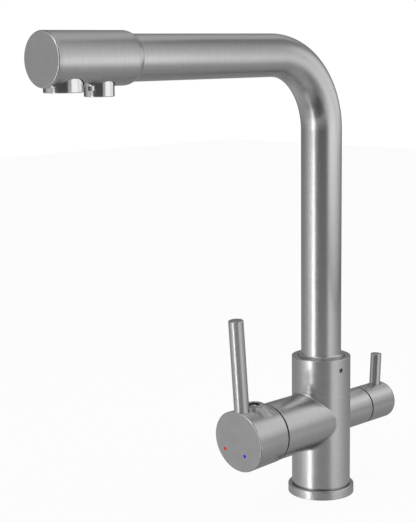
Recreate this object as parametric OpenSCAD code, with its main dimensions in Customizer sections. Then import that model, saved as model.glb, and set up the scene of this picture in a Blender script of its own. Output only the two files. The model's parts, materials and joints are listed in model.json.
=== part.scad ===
// Kitchen mixer tap with a second, filtered-water outlet.
// The origin is on the worktop, on the axis of the upright body.
// The spout and the mixer arm point along -Y, and the filter arm points along +Y.
// All sizes are in millimetres.

/* [Body] */
// Outer diameter of the upright body
body_d = 47; // [45:0.5:50]
// Height of the body's top face above the worktop
body_h = 113.3; // [108:0.1:125]
// Diameter of the foot ring
foot_d = 53; // [52:0.5:60]
// Height of the foot ring
foot_h = 7.6; // [6:0.1:10]
// Radius of the foot ring's upper edge
foot_round = 1.2; // [0.4:0.1:2]
// Diameter of the body's spigot inside the foot ring
spigot_d = 40; // [38:0.5:42]

/* [Inlets] */
// Drilled diameter of each hose inlet, before its fine thread
inlet_d = 8.92; // [8:0.02:9.2]
// Depth of each hose inlet
inlet_depth = 11; // [9:0.5:14]
// Drilled diameter of the hole for the fixing stud
stud_hole_d = 6.64; // [5:0.02:7]
// Depth of the hole for the fixing stud
stud_depth = 14; // [10:0.5:18]
// Diameter of the drilled waterways
waterway_d = 6; // [5:0.1:6.6]

/* [Spout] */
// Outer diameter of the spout tube
tube_d = 32; // [30:0.5:33]
// Wall of the spout tube
tube_wall = 1.5; // [1:0.1:2]
// Height of the level spout's axis above the worktop
spout_h = 351.6; // [300:0.1:380]
// Bend radius at the middle of the tube
bend_r = 58.6; // [50:0.1:70]
// Distance from the body's axis to the face of the spout head
reach = 272.9; // [240:0.1:300]
// Outer diameter of the pipe that carries the filtered water
pipe_d = 8; // [6:0.1:8]
// Wall of that pipe
pipe_wall = 1.2; // [0.8:0.1:1.5]

/* [Spout head] */
// Outer diameter of the spout head
head_d = 36.6; // [36:0.1:38]
// Length of the spout head
head_l = 73.4; // [70:0.1:80]
// Length of the rounded shoulder where the head meets the tube
shoulder_l = 6.2; // [4:0.1:8]
// Thickness of the head's end disc
end_disc_t = 2.2; // [1.6:0.1:3]
// Distance from the head's face to the axis of the mixed-water outlet
outlet_at = 17; // [15.5:0.1:18]
// Diameter of the mixed-water outlet's collar
outlet_d = 26; // [25:0.1:27]
// Drop of that collar's lower edge below the head's axis
outlet_drop = 21.5; // [20.5:0.1:24]
// Distance from the head's face to the axis of the filtered-water outlet
filter_outlet_at = 47; // [45:0.1:48]
// Diameter of the filtered-water outlet's collar
filter_outlet_d = 20.3; // [19:0.1:21]
// Drop of that collar's lower edge below the head's axis
filter_outlet_drop = 25; // [22:0.1:27]

/* [Mixer arm] */
// Height of the mixer arm's axis above the worktop
arm_h = 62.3; // [58:0.1:66]
// Diameter of the mixer arm
arm_d = 45.8; // [45:0.1:47]
// Distance from the body's axis to the end of the mixer arm
arm_l = 63.85; // [62:0.05:68]
// Diameter of the chamber for the mixing cartridge
chamber_d = 35.4; // [35.3:0.1:36]

/* [Mixer handle] */
// Distance from the body's axis to the centre of the cap's face
cap_face_at = 97.2; // [95:0.1:101]
// Diameter of the cap at its face
cap_face_d = 48; // [47:0.1:50]
// Diameter of the cap at its rear edge
cap_rear_d = 46; // [45.8:0.1:47]
// Lean of the face and of the lever away from the body
lever_lean = 4.6; // [0:0.1:8]
// Gap between the arm and the cap
cap_gap = 1.3; // [0.6:0.1:1.5]
// Thickness of the cap's thin rear edge
cap_edge_t = 0.7; // [0.5:0.1:1]
// Diameter of the lever
lever_d = 11.6; // [9:0.1:12]
// Height of the lever's top above the arm's axis
lever_top = 94.4; // [70:0.1:110]
// Distance from the cap's face back to the lever's axis
lever_back = 6.3; // [6.2:0.1:8]
// Diameter of the raised rim round the fixing screw
rim_d = 13; // [12:0.1:14]
// Height of that rim above the cap
rim_h = 1.7; // [0.5:0.1:2.5]
// Distance from the cap's face back to the fixing screw
screw_back = 19.5; // [19:0.1:21]

/* [Mixing cartridge] */
// Distance from the body's axis to the seat of the cartridge
seat_at = 27; // [26:0.1:28]
// Distance from the body's axis to the pin that the stem tilts on
pivot_at = 55; // [54.5:0.1:55.5]
// Tilt of the stem when the water is off
stem_rest = 10; // [8:0.5:11]
// Width of the square end of the stem
stem_w = 8; // [7:0.1:9]
// Diameter of the ceramic disc that stays still
fixed_disc_d = 29; // [28:0.1:29.2]
// Diameter of the ceramic disc that slides
sliding_disc_d = 22; // [20:0.1:22.4]

/* [Filter arm] */
// Height of the filter arm's axis above the worktop
filter_h = 61.3; // [58:0.1:64]
// Diameter of the filter arm and its cap
filter_d = 30.5; // [29:0.1:32]
// Distance from the body's axis to the end of the filter arm
filter_l = 48.1; // [45:0.1:50]
// Distance from the body's axis to the end of the filter cap
filter_end = 80; // [77:0.1:84]
// Radius of the filter cap's outer edge
filter_round = 3; // [1:0.1:4]
// Diameter of the filter lever
filter_lever_d = 9; // [7:0.1:9.4]
// Lean of the filter lever away from the body
filter_lean = 4; // [0:0.1:8]
// Height of the filter lever's top above the filter arm's axis
filter_lever_top = 40.7; // [32:0.1:55]
// Distance from the cap's end back to the filter lever's axis
filter_lever_back = 11; // [9:0.1:12]

/* [Hidden] */
$fn = 96;

// Clearances that the pieces share
touch = 0.03;
run = 0.06;
slip = 0.2;
loose = 0.3;
eps = 0.01;
over = 1;

// Body
body_r = body_d / 2;
foot_r = foot_d / 2;
spigot_r = spigot_d / 2;
neck_h = 0.8;
neck_in = 1;
body_edge = 0.6;
seal_t = 1.6;
seal_w = 2.6;
seal_mid_r = spigot_r + (foot_r - spigot_r) / 2;
hose_x = 9.5;
hose_y = -2;
filter_hose_y = 11;
stud_y = -12.5;
inlets = [[-hose_x, hose_y], [hose_x, hose_y], [0, filter_hose_y]];

// Socket for the spout in the top of the body
socket_r = tube_d / 2 + 2.9;
socket_depth = 29.3;
socket_z = body_h - socket_depth;
mixed_y = -10;
mixed_d = waterway_d + 1.2;
pipe_socket_depth = 12;
pipe_inlet_down = 8.7;
pipe_inlet_z = socket_z - pipe_inlet_down;
grub_down = 8.8;
grub_z = body_h - grub_down;
grub_angle = 82;
grub_r = 1.5;

// Foot of the spout
collar_r = socket_r - 0.5;
foot_bore_r = 13;
groove_d = 1.5;
groove_w = 3.6;
oring_r = 1.28;
oring_mid_r = socket_r - oring_r - run - 0.04;
oring_up = 6;
oring_pitch = 6;
oring_z = [socket_z + oring_up, socket_z + oring_up + oring_pitch];
tube_seat_down = 5.3;
tube_seat_z = body_h - tube_seat_down;
glide_t = 2.3;
glide_in_r = collar_r - 1.2;
glide_down = 4;
glide_z = body_h - glide_down;
fillet_r = 2;
foot_top_z = body_h + 0.2;
washer_t = 1;

// Spout head, measured along the level spout from the body's axis
tube_r = tube_d / 2;
head_r = head_d / 2;
head_start = reach - head_l;
disc_back = reach - end_disc_t;
head_bore_r = tube_r + 0.6;
tube_into_head = 12.5;
tube_end = head_start + tube_into_head;
edge_c = 0.45;
collar_gap = 0.35;
shoulder_r = (pow(shoulder_l, 2) + pow(head_r - tube_r, 2)) / (2 * (head_r - tube_r));
outlet_y = reach - outlet_at;
filter_outlet_y = reach - filter_outlet_at;
collar_top = 12.5;
collar_wall = 1.7;
collar_lip = 1.5;
collar_c = 0.6;
aerator_in = 0.4;
collar_h = outlet_drop - collar_top;
filter_collar_h = filter_outlet_drop - collar_top;
elbow_r = 7.5;
elbow_up = 6;
pipe_end = filter_outlet_y - 4;
pipe_low_z = pipe_inlet_z + waterway_d / 2 + 1.2;
pipe_oring_r = 0.75;
pipe_oring_z = socket_z - 2.4;

// Mixer arm and cartridge, measured along the arm from the body's axis
arm_r = arm_d / 2;
chamber_r = chamber_d / 2;
cap_rear = arm_l + cap_gap;
cap_rear_r = cap_rear_d / 2;
cap_face_r = cap_face_d / 2;
ball_joint_r = sqrt(pow(cap_rear - pivot_at, 2) + pow(cap_rear_r - cap_edge_t, 2));
dome_r = ball_joint_r - 0.35;
dome_t = 1.9;
dome_hole_r = 14;
cartridge_r = chamber_r - 0.4;
base_t = 5;
disc_t = 3;
film = 0.05;
fixed_at = seat_at + base_t;
sliding_disc_t = 3.5;
sliding_at = fixed_at + disc_t + film;
slider_at = sliding_at + sliding_disc_t;
slider_t = 4.95;
carrier_at = slider_at + slider_t + loose;
carrier_r = fixed_disc_d / 2 - 0.1;
carrier_neck_r = 12.2;
nut_t = 4.1;
housing_top = arm_l - nut_t - 0.25;
lip_t = 2.8;
lip_at = housing_top - lip_t;
housing_bore_r = fixed_disc_d / 2 + slip;
nut_bore_r = carrier_neck_r + 0.4;
pin_r = 1.5;
pin_l = 23;
ball_r = 2.5;
ball_at = pivot_at - (slider_at + slider_t / 2 + 0.4);
rest_shift = -ball_at * sin(stem_rest);
stem_l = 30;
stem_neck_r = 1.9;
stem_block_w = 7.8;
stem_block_h = 6.8;
stem_block_in = 4;
stem_block_out = 7;
stem_square_at = 6.5;
slot_w = 8.4;
slot_h = 14;
port_r = waterway_d / 2;
port_x = 6.2;
port_low = -6.5;
port_high = 7.5;
port_places = [[-port_x, port_low], [port_x, port_low], [0, port_high]];
port_seal_w = 1.1;
port_seal_t = 1.3;

// Mixer handle
cap_grow = (cap_face_r - cap_rear_r) / (cap_face_at - cap_rear);
hub_r = 7.4;
hub_start = 14.8;
stem_clear = 0.1;
notch_w = 12.6;
notch_l = 7.5;
lever_hole_floor = 17;
lever_r = lever_d / 2;
lever_edge = 0.9;
stud_r = 3;
stud_down = 7;
stud_up = 9;
screw_r = 2.5;
screw_gap = 0.15;
screw_out = cap_face_at - screw_back * cos(lever_lean) - pivot_at;
screw_tip = (stem_w / 2 + screw_gap + screw_r * sin(stem_rest + lever_lean) + screw_out * sin(stem_rest)
  - screw_back * sin(lever_lean) * cos(stem_rest)) / cos(stem_rest + lever_lean);
rim_top = lever_z(screw_back, cap_rear_r + cap_grow * (cap_face_at - screw_back - cap_rear) + rim_h);
rim_edge = 0.7;
cover_r = 4.2;
cover_hole_r = cover_r + 0.5;
cover_t = 2.6;
cover_dome = 1.5;
recess_depth = 3.4;
recess_z = rim_top - recess_depth;
dot_r = 1.2;
dot_t = 0.5;
dot_proud = 0.05;
hot_at = [-14.4, -8.2];
cold_at = [6, -10.2];

// Filter arm and valve, measured along the arm from the body's axis
filter_r = filter_d / 2;
valve_seat = 16;
valve_r = 9.4;
pocket_r = 11;
pocket_end = 25;
exit_y = 20;
filter_port_r = port_r - 0.4;
exit_r = filter_port_r - 0.4;
head_start_y = valve_seat + 1.5;
valve_disc_t = 2.5;
valve_disc_r = 7.5;
valve_bore_r = valve_disc_r + 0.1;
turning_at = head_start_y + valve_disc_t + film;
spindle_at = turning_at + valve_disc_t;
spindle_flange = 3.5;
spindle_r = 3.9;
valve_shoulder = spindle_at + spindle_flange + loose;
thread_at = 30;
hex_at = filter_l - 4.7;
hex_r = 8.6;
valve_end = filter_l + 2.3;
valve_neck_r = 6;
spindle_end = 61;
spline_r = 3.5;
slip_ring_t = 1;
filter_gap = 1.3;
filter_cap_at = filter_l + filter_gap;
cap_cavity_r = 12.4;
cap_cavity_end = valve_end + 1;
window_w = 6;
filter_screw_y = 56;
filter_screw_r = 2;
filter_lever_r = filter_lever_d / 2;
filter_lever_floor = 9.5;
filter_stud_r = 2;
spindle_oring_at = 36;
spindle_oring_r = 0.9;
spindle_oring_mid = spindle_r + spindle_oring_r + 0.05;

// Distance along a leaning axis at which it is h above the arm's axis
function lever_z(back, h) = (h - back * sin(lever_lean)) / cos(lever_lean);

// Frames that turn a shape built along +Z
module along_front(h) { translate([0, 0, h]) rotate([90, 0, 0]) children(); }
module along_back(h) { translate([0, 0, h]) rotate([90, 0, 180]) children(); }
module at_pivot(tilt) { translate([0, -pivot_at, arm_h]) rotate([90 + tilt, 0, 0]) children(); }
module face_frame() { translate([0, -cap_face_at, arm_h]) rotate([90 + lever_lean, 0, 0]) children(); }
module lever_frame(back) { face_frame() translate([0, 0, -back]) rotate([-90, 0, 0]) children(); }
module filter_lever_frame() {
  translate([0, filter_end - filter_lever_back, filter_h]) rotate([-filter_lean, 0, 0]) children();
}
module at_outlet() { translate([0, -outlet_y, spout_h - outlet_drop]) children(); }
module at_filter_outlet() { translate([0, -filter_outlet_y, spout_h - filter_outlet_drop]) children(); }
module span(r, low, high) { translate([0, 0, low]) cylinder(r = r, h = high - low); }
module taper(r1, r2, low, high) { translate([0, 0, low]) cylinder(r1 = r1, r2 = r2, h = high - low); }
module cross_rod(r, l) { rotate([0, 90, 0]) cylinder(r = r, h = l, center = true); }
module bored(r, bore, low, high) {
  difference() {
    span(r, low, high);
    span(bore, low - over, high + over);
  }
}
module rod(r, low, high, edge) {
  span(r, low, high - edge);
  taper(r, r - edge, high - edge, high);
}
module ring_solid(mid_r, r) { rotate_extrude() translate([mid_r, 0]) circle(r = r, $fn = 32); }

// Foot
module base_seal() {
  color("dimgray") bored(seal_mid_r + seal_w / 2, seal_mid_r - seal_w / 2, 0, seal_t);
}

module foot_ring() {
  color("silver") difference() {
    rotate_extrude() difference() {
      union() {
        square([foot_r - foot_round, foot_h]);
        square([foot_r, foot_h - foot_round]);
        translate([foot_r - foot_round, foot_h - foot_round]) circle(r = foot_round, $fn = 48);
      }
      translate([-over, -over]) square([spigot_r + slip + over, foot_h + 2 * over]);
    }
    bored(seal_mid_r + seal_w / 2 + slip, seal_mid_r - seal_w / 2 - slip, -over, seal_t);
  }
}

// Body casting with its chambers and waterways
module body_outside() {
  span(spigot_r, 0, foot_h + eps);
  span(body_r - neck_in, foot_h, foot_h + neck_h + eps);
  span(body_r, foot_h + neck_h, body_h - body_edge);
  taper(body_r, body_r - body_edge, body_h - body_edge - eps, body_h);
  along_front(arm_h) span(arm_r, 0, arm_l);
  along_back(filter_h) span(filter_r, 0, filter_l);
}

module mixer_waterways() {
  for (p = port_places) {
    start = p[0] == 0 ? -mixed_y : -hose_y;
    along_front(arm_h) translate(p) span(port_r, start - over, seat_at + over);
  }
  for (x = [-hose_x, hose_x]) translate([x, hose_y, 0]) span(port_r, over, arm_h + port_low + over);
  translate([0, mixed_y, 0]) span(mixed_d / 2, arm_h + port_high - port_r - over, socket_z + over);
}

module filter_waterways() {
  translate([0, filter_hose_y, 0]) span(port_r, over, filter_h + over);
  along_back(filter_h) span(filter_port_r, filter_hose_y - over, valve_seat + over);
  along_back(filter_h) span(valve_r, valve_seat, filter_l + over);
  along_back(filter_h) span(pocket_r, valve_seat + 1, pocket_end);
  translate([0, exit_y, filter_h]) span(filter_port_r, over, pipe_inlet_z - filter_h + over);
  along_back(pipe_inlet_z) span(exit_r, over, exit_y + over);
  span(pipe_d / 2 + run, socket_z - pipe_socket_depth, socket_z + over);
  groove_half = pipe_oring_r + touch;
  span(pipe_d / 2 + 2 * pipe_oring_r + 2 * run, pipe_oring_z - groove_half, pipe_oring_z + groove_half);
}

module main_body() {
  color("silver") difference() {
    body_outside();
    for (p = inlets) translate(p) span(inlet_d / 2, -over, inlet_depth);
    translate([0, stud_y, 0]) span(stud_hole_d / 2, -over, stud_depth);
    span(socket_r, socket_z, body_h + over);
    along_front(arm_h) span(chamber_r, seat_at, arm_l + over);
    mixer_waterways();
    filter_waterways();
    rotate([0, 0, grub_angle]) along_front(grub_z) span(grub_r, 0, body_r + over);
    along_front(arm_h) difference() {
      span(arm_r + over, pivot_at, arm_l + over);
      translate([0, 0, pivot_at]) sphere(r = dome_r);
    }
  }
}

// Mixing cartridge, the parts that stay still
module cartridge_base() {
  color("whitesmoke") along_front(arm_h) difference() {
    span(cartridge_r, seat_at, fixed_at);
    for (p = port_places) translate(p) {
      span(port_r, seat_at - over, fixed_at + over);
      span(port_r + port_seal_w, seat_at - over, seat_at + port_seal_t);
    }
  }
}

module port_seals() {
  color("dimgray") along_front(arm_h) for (p = port_places)
    translate(p) bored(port_r + port_seal_w - touch, port_r, seat_at, seat_at + port_seal_t);
}

module fixed_disc() {
  color("white") along_front(arm_h) difference() {
    span(fixed_disc_d / 2, fixed_at, fixed_at + disc_t);
    for (p = port_places) translate(p) span(port_r, fixed_at - over, fixed_at + disc_t + over);
  }
}

module cartridge_housing() {
  color("gainsboro") along_front(arm_h) difference() {
    span(cartridge_r, fixed_at, housing_top);
    span(housing_bore_r, fixed_at - over, lip_at);
    span(carrier_neck_r + slip, fixed_at, housing_top + over);
  }
}

module cartridge_nut() {
  slots = 4;
  slot_half = 2;
  slot_depth = 1.6;
  color("goldenrod") along_front(arm_h) difference() {
    bored(chamber_r - run, nut_bore_r, housing_top, housing_top + nut_t);
    for (i = [0 : slots / 2 - 1]) rotate([0, 0, i * 360 / slots])
      translate([-chamber_r - over, -slot_half, housing_top + nut_t - slot_depth])
        cube([2 * (chamber_r + over), 2 * slot_half, over + slot_depth]);
  }
}

module dome_ring() {
  color("silver") intersection() {
    along_front(arm_h) bored(arm_r, dome_hole_r, arm_l, pivot_at + dome_r);
    at_pivot(0) difference() {
      sphere(r = dome_r);
      sphere(r = dome_r - dome_t);
    }
  }
}

// Mixing cartridge, the parts that move
module cartridge_carrier() {
  color("darkgray") along_front(arm_h) difference() {
    union() {
      span(carrier_r, carrier_at, lip_at - slip);
      span(carrier_neck_r, lip_at - slip - eps, housing_top + 0.8);
    }
    translate([-slot_w / 2, -slot_h / 2, carrier_at - over])
      cube([slot_w, slot_h, housing_top - carrier_at + 3 * over]);
    translate([0, 0, pivot_at]) cross_rod(pin_r + touch, 3 * carrier_r);
  }
}

module pivot_pin() {
  color("gray") translate([0, -pivot_at, arm_h]) cross_rod(pin_r, pin_l);
}

module sliding_disc() {
  mix_r = sliding_disc_d / 2 - 3;
  color("white") along_front(arm_h) translate([0, rest_shift, 0]) difference() {
    span(sliding_disc_d / 2, sliding_at, slider_at);
    span(mix_r, sliding_at - over, sliding_at + 1.4);
  }
}

module disc_slider() {
  half_x = ball_r + 0.15;
  half_y = ball_r + 0.15;
  color("darkgray") along_front(arm_h) translate([0, rest_shift, 0]) difference() {
    span(sliding_disc_d / 2 + 0.4, slider_at, slider_at + slider_t);
    translate([-half_x, -half_y, slider_at - over]) cube([2 * half_x, 2 * half_y, slider_t + 2 * over]);
  }
}

module cartridge_stem() {
  color("gray") at_pivot(-stem_rest) difference() {
    union() {
      translate([0, 0, -ball_at]) sphere(r = ball_r);
      span(stem_neck_r, -ball_at, 0);
      translate([-stem_block_w / 2, -stem_block_h / 2, -stem_block_in])
        cube([stem_block_w, stem_block_h, stem_block_in + stem_block_out]);
      translate([-stem_w / 2, -stem_w / 2, stem_square_at]) cube([stem_w, stem_w, stem_l - stem_square_at]);
    }
    cross_rod(pin_r + run, 4 * stem_w);
  }
}

// Mixer handle
module cap_outside() {
  extra = 4;
  long = cap_face_at + extra - cap_rear;
  intersection() {
    along_front(arm_h) taper(cap_rear_r, cap_rear_r + cap_grow * long, cap_rear, cap_rear + long);
    face_frame() taper(3 * cap_face_r - edge_c, cap_face_r - edge_c, -2 * cap_face_r, 0);
  }
}

module cap_rim() {
  lever_frame(screw_back) {
    span(rim_d / 2, rim_top - 6, rim_top - rim_edge);
    taper(rim_d / 2, rim_d / 2 - rim_edge, rim_top - rim_edge, rim_top);
  }
}

module drain_notch() {
  along_front(arm_h) translate([0, 0, cap_rear + notch_l - notch_w / 2]) rotate([90, 0, 0])
    cylinder(r = notch_w / 2, h = 2 * cap_face_r);
}

module mixer_cap() {
  color("silver") difference() {
    union() {
      difference() {
        union() {
          cap_outside();
          cap_rim();
        }
        at_pivot(0) sphere(r = ball_joint_r);
        drain_notch();
      }
      intersection() {
        at_pivot(-stem_rest) span(hub_r, hub_start, cap_face_at - pivot_at);
        along_front(arm_h) span(arm_r, 0, cap_face_at - 6);
      }
    }
    at_pivot(-stem_rest) translate([-stem_w / 2 - stem_clear, -stem_w / 2 - stem_clear, hub_start - over])
      cube([stem_w + 2 * stem_clear, stem_w + 2 * stem_clear, stem_l + loose - hub_start + over]);
    lever_frame(lever_back) {
      span(lever_r + run, lever_hole_floor, 2 * cap_face_r);
      span(stud_r + touch, lever_hole_floor - stud_down, 2 * cap_face_r);
    }
    lever_frame(screw_back) {
      span(cover_hole_r, recess_z, 2 * cap_face_r);
      span(screw_r + touch, 0, 2 * cap_face_r);
    }
    face_frame() for (p = [hot_at, cold_at]) translate(p) span(dot_r + touch, -dot_t, over);
  }
}

module mixer_lever() {
  color("silver") lever_frame(lever_back) difference() {
    rod(lever_r, lever_hole_floor, lever_z(lever_back, lever_top), lever_edge);
    span(stud_r + touch, lever_hole_floor - over, lever_hole_floor + stud_up);
  }
}

module lever_stud() {
  color("gray") lever_frame(lever_back)
    span(stud_r, lever_hole_floor - stud_down, lever_hole_floor + stud_up);
}

module handle_screw() {
  color("gray") lever_frame(screw_back) difference() {
    span(screw_r, screw_tip, recess_z - 0.4);
    translate([0, 0, recess_z - 3]) cylinder(r = 1.45, h = 4, $fn = 6);
  }
}

module screw_cover() {
  color("whitesmoke") lever_frame(screw_back) {
    span(cover_r, recess_z, recess_z + cover_t - cover_dome / 2);
    taper(cover_r, cover_r - cover_dome, recess_z + cover_t - cover_dome / 2, recess_z + cover_t);
  }
}

module dot(place) { face_frame() translate(place) span(dot_r, -dot_t, dot_proud); }
module hot_dot() { color("red") dot(hot_at); }
module cold_dot() { color("blue") dot(cold_at); }

// Spout foot and its sealing rings
module spout_foot() {
  low = socket_z + washer_t;
  color("silver") difference() {
    union() {
      span(collar_r, low, foot_top_z);
      rotate_extrude() difference() {
        square([tube_r + fillet_r, foot_top_z + fillet_r - 0.1]);
        square([tube_r - over, foot_top_z + 2 * fillet_r]);
        translate([tube_r + fillet_r + 0.15, foot_top_z + fillet_r + 0.1]) circle(r = fillet_r, $fn = 48);
        square([tube_r + 2 * fillet_r, foot_top_z - over]);
      }
    }
    span(foot_bore_r, low - over, body_h);
    span(tube_r + touch, tube_seat_z, foot_top_z + 2 * fillet_r);
    bored(collar_r + over, collar_r - groove_d, grub_z - groove_w / 2, grub_z + groove_w / 2);
    bored(collar_r + over, glide_in_r, glide_z, glide_z + glide_t);
    for (z = oring_z)
      bored(collar_r + over, oring_mid_r - oring_r - run, z - oring_r - run, z + oring_r + run);
  }
}

module spout_orings() {
  color("dimgray") for (z = oring_z) translate([0, 0, z]) ring_solid(oring_mid_r, oring_r);
}

module spout_glide_rings() {
  color("whitesmoke") {
    bored(socket_r - run, glide_in_r + touch, glide_z + touch, glide_z + glide_t - touch);
    bored(socket_r - slip, foot_bore_r + 0.8, socket_z + film, socket_z + washer_t);
  }
}

module spout_grub_screw() {
  tip = collar_r - groove_d + slip;
  color("dimgray") rotate([0, 0, grub_angle]) along_front(grub_z) difference() {
    span(grub_r - touch, tip, body_r - 1.2);
    span(0.8, body_r - 2.6, body_r);
  }
}

// A pipe that rises from low_z, turns at the bend and runs level to level_end
module bent_rod(r, low_z, level_end) {
  span(r, low_z, spout_h - bend_r);
  translate([0, -bend_r, spout_h - bend_r]) rotate([90, 0, 90]) rotate_extrude(angle = 90)
    translate([bend_r, 0]) circle(r = r);
  along_front(spout_h) span(r, bend_r, level_end);
}

module spout_tube() {
  color("silver") difference() {
    bent_rod(tube_r, tube_seat_z, tube_end);
    bent_rod(tube_r - tube_wall, tube_seat_z - over, tube_end + over);
  }
}

module filtered_water_pipe() {
  color("white") difference() {
    bent_rod(pipe_d / 2, pipe_low_z, pipe_end);
    bent_rod(pipe_d / 2 - pipe_wall, pipe_low_z - over, pipe_end + over);
  }
}

module pipe_oring() {
  color("dimgray") translate([0, 0, pipe_oring_z]) ring_solid(pipe_d / 2 + pipe_oring_r + run, pipe_oring_r);
}

// Spout head
module head_outside() {
  along_front(spout_h) rotate_extrude() {
    translate([0, head_start + shoulder_l - eps]) square([head_r, disc_back - head_start - shoulder_l + eps]);
    intersection() {
      translate([head_r - shoulder_r, head_start + shoulder_l]) circle(r = shoulder_r);
      translate([0, head_start]) square([head_r, shoulder_l]);
    }
  }
}

module head_shell() {
  color("silver") difference() {
    head_outside();
    along_front(spout_h) {
      span(tube_r + touch, head_start - over, tube_end);
      span(head_bore_r, tube_end - eps, disc_back + over);
    }
    at_outlet() span(outlet_d / 2 + collar_gap, -over, collar_h);
    at_filter_outlet() span(filter_outlet_d / 2 + collar_gap, -over, filter_collar_h);
  }
}

module head_end_disc() {
  ring_l = 1.5;
  color("silver") along_front(spout_h) {
    span(head_r, disc_back, reach - edge_c);
    taper(head_r, head_r - edge_c, reach - edge_c, reach);
    bored(head_bore_r - touch, head_bore_r - 2, disc_back - ring_l, disc_back + eps);
  }
}

// Outlet collar with a seat for its aerator; it stands on z = 0 and has its flow bore on top
module collar(d, h) {
  difference() {
    union() {
      span(d / 2, collar_c, h);
      taper(d / 2 - collar_c, d / 2, 0, collar_c + eps);
    }
    span(d / 2 - collar_wall, -over, h - collar_lip);
    span(d / 2 - collar_wall - 1.5, 0, h + over);
  }
}

module aerator_shell(d, h) {
  r = d / 2 - collar_wall - run;
  difference() {
    span(r, aerator_in, h - collar_lip - 1);
    span(r - 1, aerator_in - over, h - collar_lip - 3);
    span(r - 2.2, 0, h + over);
  }
}

module aerator_ring(d, h) {
  r = d / 2 - collar_wall - run;
  bored(r, r - 2.2, h - collar_lip - 1, h - collar_lip);
}

// Honeycomb plate: holes on a triangular grid, kept inside the rim
module honeycomb(d, pitch, hole_r) {
  r = d / 2 - collar_wall - run - 1 - touch;
  rows = floor(r / pitch);
  web = 0.5;
  plate_t = 3;
  difference() {
    span(r, aerator_in + web, aerator_in + plate_t);
    for (i = [-rows : rows], j = [-rows : rows]) {
      x = pitch * (i + j / 2);
      y = pitch * j * sqrt(3) / 2;
      if (norm([x, y]) < r - hole_r - web)
        translate([x, y, 0]) cylinder(r = hole_r, h = plate_t * 2, $fn = 6);
    }
  }
}

module outlet_collar() { color("silver") at_outlet() collar(outlet_d, collar_h); }
module aerator_housing() { color("gray") at_outlet() aerator_shell(outlet_d, collar_h); }
module aerator_insert() { color("white") at_outlet() honeycomb(outlet_d, 3.2, 1.35); }
module aerator_seal() { color("dimgray") at_outlet() aerator_ring(outlet_d, collar_h); }
module filter_outlet_collar() { color("silver") at_filter_outlet() collar(filter_outlet_d, filter_collar_h); }
module filter_aerator_housing() {
  color("gray") at_filter_outlet() aerator_shell(filter_outlet_d, filter_collar_h);
}
module filter_aerator_insert() { color("lightblue") at_filter_outlet() honeycomb(filter_outlet_d, 2.9, 1.2); }
module filter_aerator_seal() {
  color("dimgray") at_filter_outlet() aerator_ring(filter_outlet_d, filter_collar_h);
}

module filter_elbow() {
  bore = pipe_d / 2 - pipe_wall;
  color("goldenrod") difference() {
    translate([0, -filter_outlet_y, spout_h]) span(elbow_r, -collar_top, elbow_up);
    translate([0, -filter_outlet_y, spout_h]) span(bore, -collar_top - over, 0);
    along_front(spout_h) span(bore, 0, filter_outlet_y);
    along_front(spout_h) span(pipe_d / 2 + touch, 0, pipe_end);
  }
}

// Filter valve
module filter_headwork() {
  color("goldenrod") along_back(filter_h) difference() {
    union() {
      span(valve_r - 0.5, head_start_y, thread_at);
      span(valve_r - touch, thread_at, filter_l - 1);
      translate([0, 0, hex_at + 1]) cylinder(r = hex_r, h = valve_end - hex_at - 2.2, $fn = 6);
      span(valve_neck_r, hex_at, valve_end);
    }
    span(valve_bore_r, head_start_y - over, valve_shoulder);
    span(spindle_r + run, valve_shoulder - eps, valve_end + over);
    translate([-valve_r, -window_w / 2, turning_at + 0.5]) cube([2 * valve_r, window_w, 4]);
    span(spindle_oring_mid + spindle_oring_r + touch, spindle_oring_at - spindle_oring_r - touch,
      spindle_oring_at + spindle_oring_r + touch);
  }
}

module filter_seat_seal() {
  color("dimgray") along_back(filter_h) bored(valve_disc_r, port_r + 0.5, valve_seat, head_start_y);
}

module filter_fixed_disc() {
  color("white") along_back(filter_h) difference() {
    span(valve_disc_r, head_start_y, head_start_y + valve_disc_t);
    for (x = [-3.6, 3.6]) translate([x, 0, 0]) span(2.2, head_start_y - over, turning_at + over);
  }
}

module filter_slip_ring() {
  color("dimgray") along_back(filter_h)
    bored(filter_r - cap_gap, valve_r + 2 * loose, filter_l, filter_l + slip_ring_t);
}

module filter_turning_disc() {
  color("white") along_back(filter_h) difference() {
    span(valve_disc_r - slip, turning_at, spindle_at);
    for (y = [-3.6, 3.6]) translate([0, y, 0]) span(2.2, turning_at - over, spindle_at + over);
  }
}

module filter_spindle() {
  color("gold") along_back(filter_h) {
    span(valve_disc_r - slip, spindle_at, spindle_at + spindle_flange);
    span(spindle_r, spindle_at + spindle_flange - eps, valve_end + 1.5);
    span(spline_r, valve_end + 1.5 - eps, spindle_end);
  }
}

module spindle_oring() {
  color("dimgray") along_back(filter_h) translate([0, 0, spindle_oring_at])
    ring_solid(spindle_oring_mid, spindle_oring_r);
}

module filter_cap() {
  color("silver") difference() {
    along_back(filter_h) rotate_extrude() {
      translate([0, filter_cap_at]) square([filter_r, filter_end - filter_cap_at - filter_round]);
      translate([0, filter_cap_at]) square([filter_r - filter_round, filter_end - filter_cap_at]);
      translate([filter_r - filter_round, filter_end - filter_round]) circle(r = filter_round, $fn = 64);
    }
    along_back(filter_h) {
      span(cap_cavity_r, filter_cap_at - over, cap_cavity_end);
      span(spline_r + touch, filter_cap_at, spindle_end + loose);
      span(spindle_r + slip, filter_cap_at, valve_end + 1.8);
    }
    translate([0, filter_screw_y, filter_h]) span(filter_screw_r + touch, -filter_r - over, 0);
    filter_lever_frame() {
      span(filter_lever_r + run, filter_lever_floor, filter_d);
      span(filter_stud_r + touch, filter_lever_floor - 5, filter_d);
    }
  }
}

module filter_lever() {
  color("silver") filter_lever_frame() difference() {
    rod(filter_lever_r, filter_lever_floor, filter_lever_top / cos(filter_lean), lever_edge - 0.2);
    span(filter_stud_r + touch, filter_lever_floor - over, filter_lever_floor + 6);
  }
}

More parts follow.
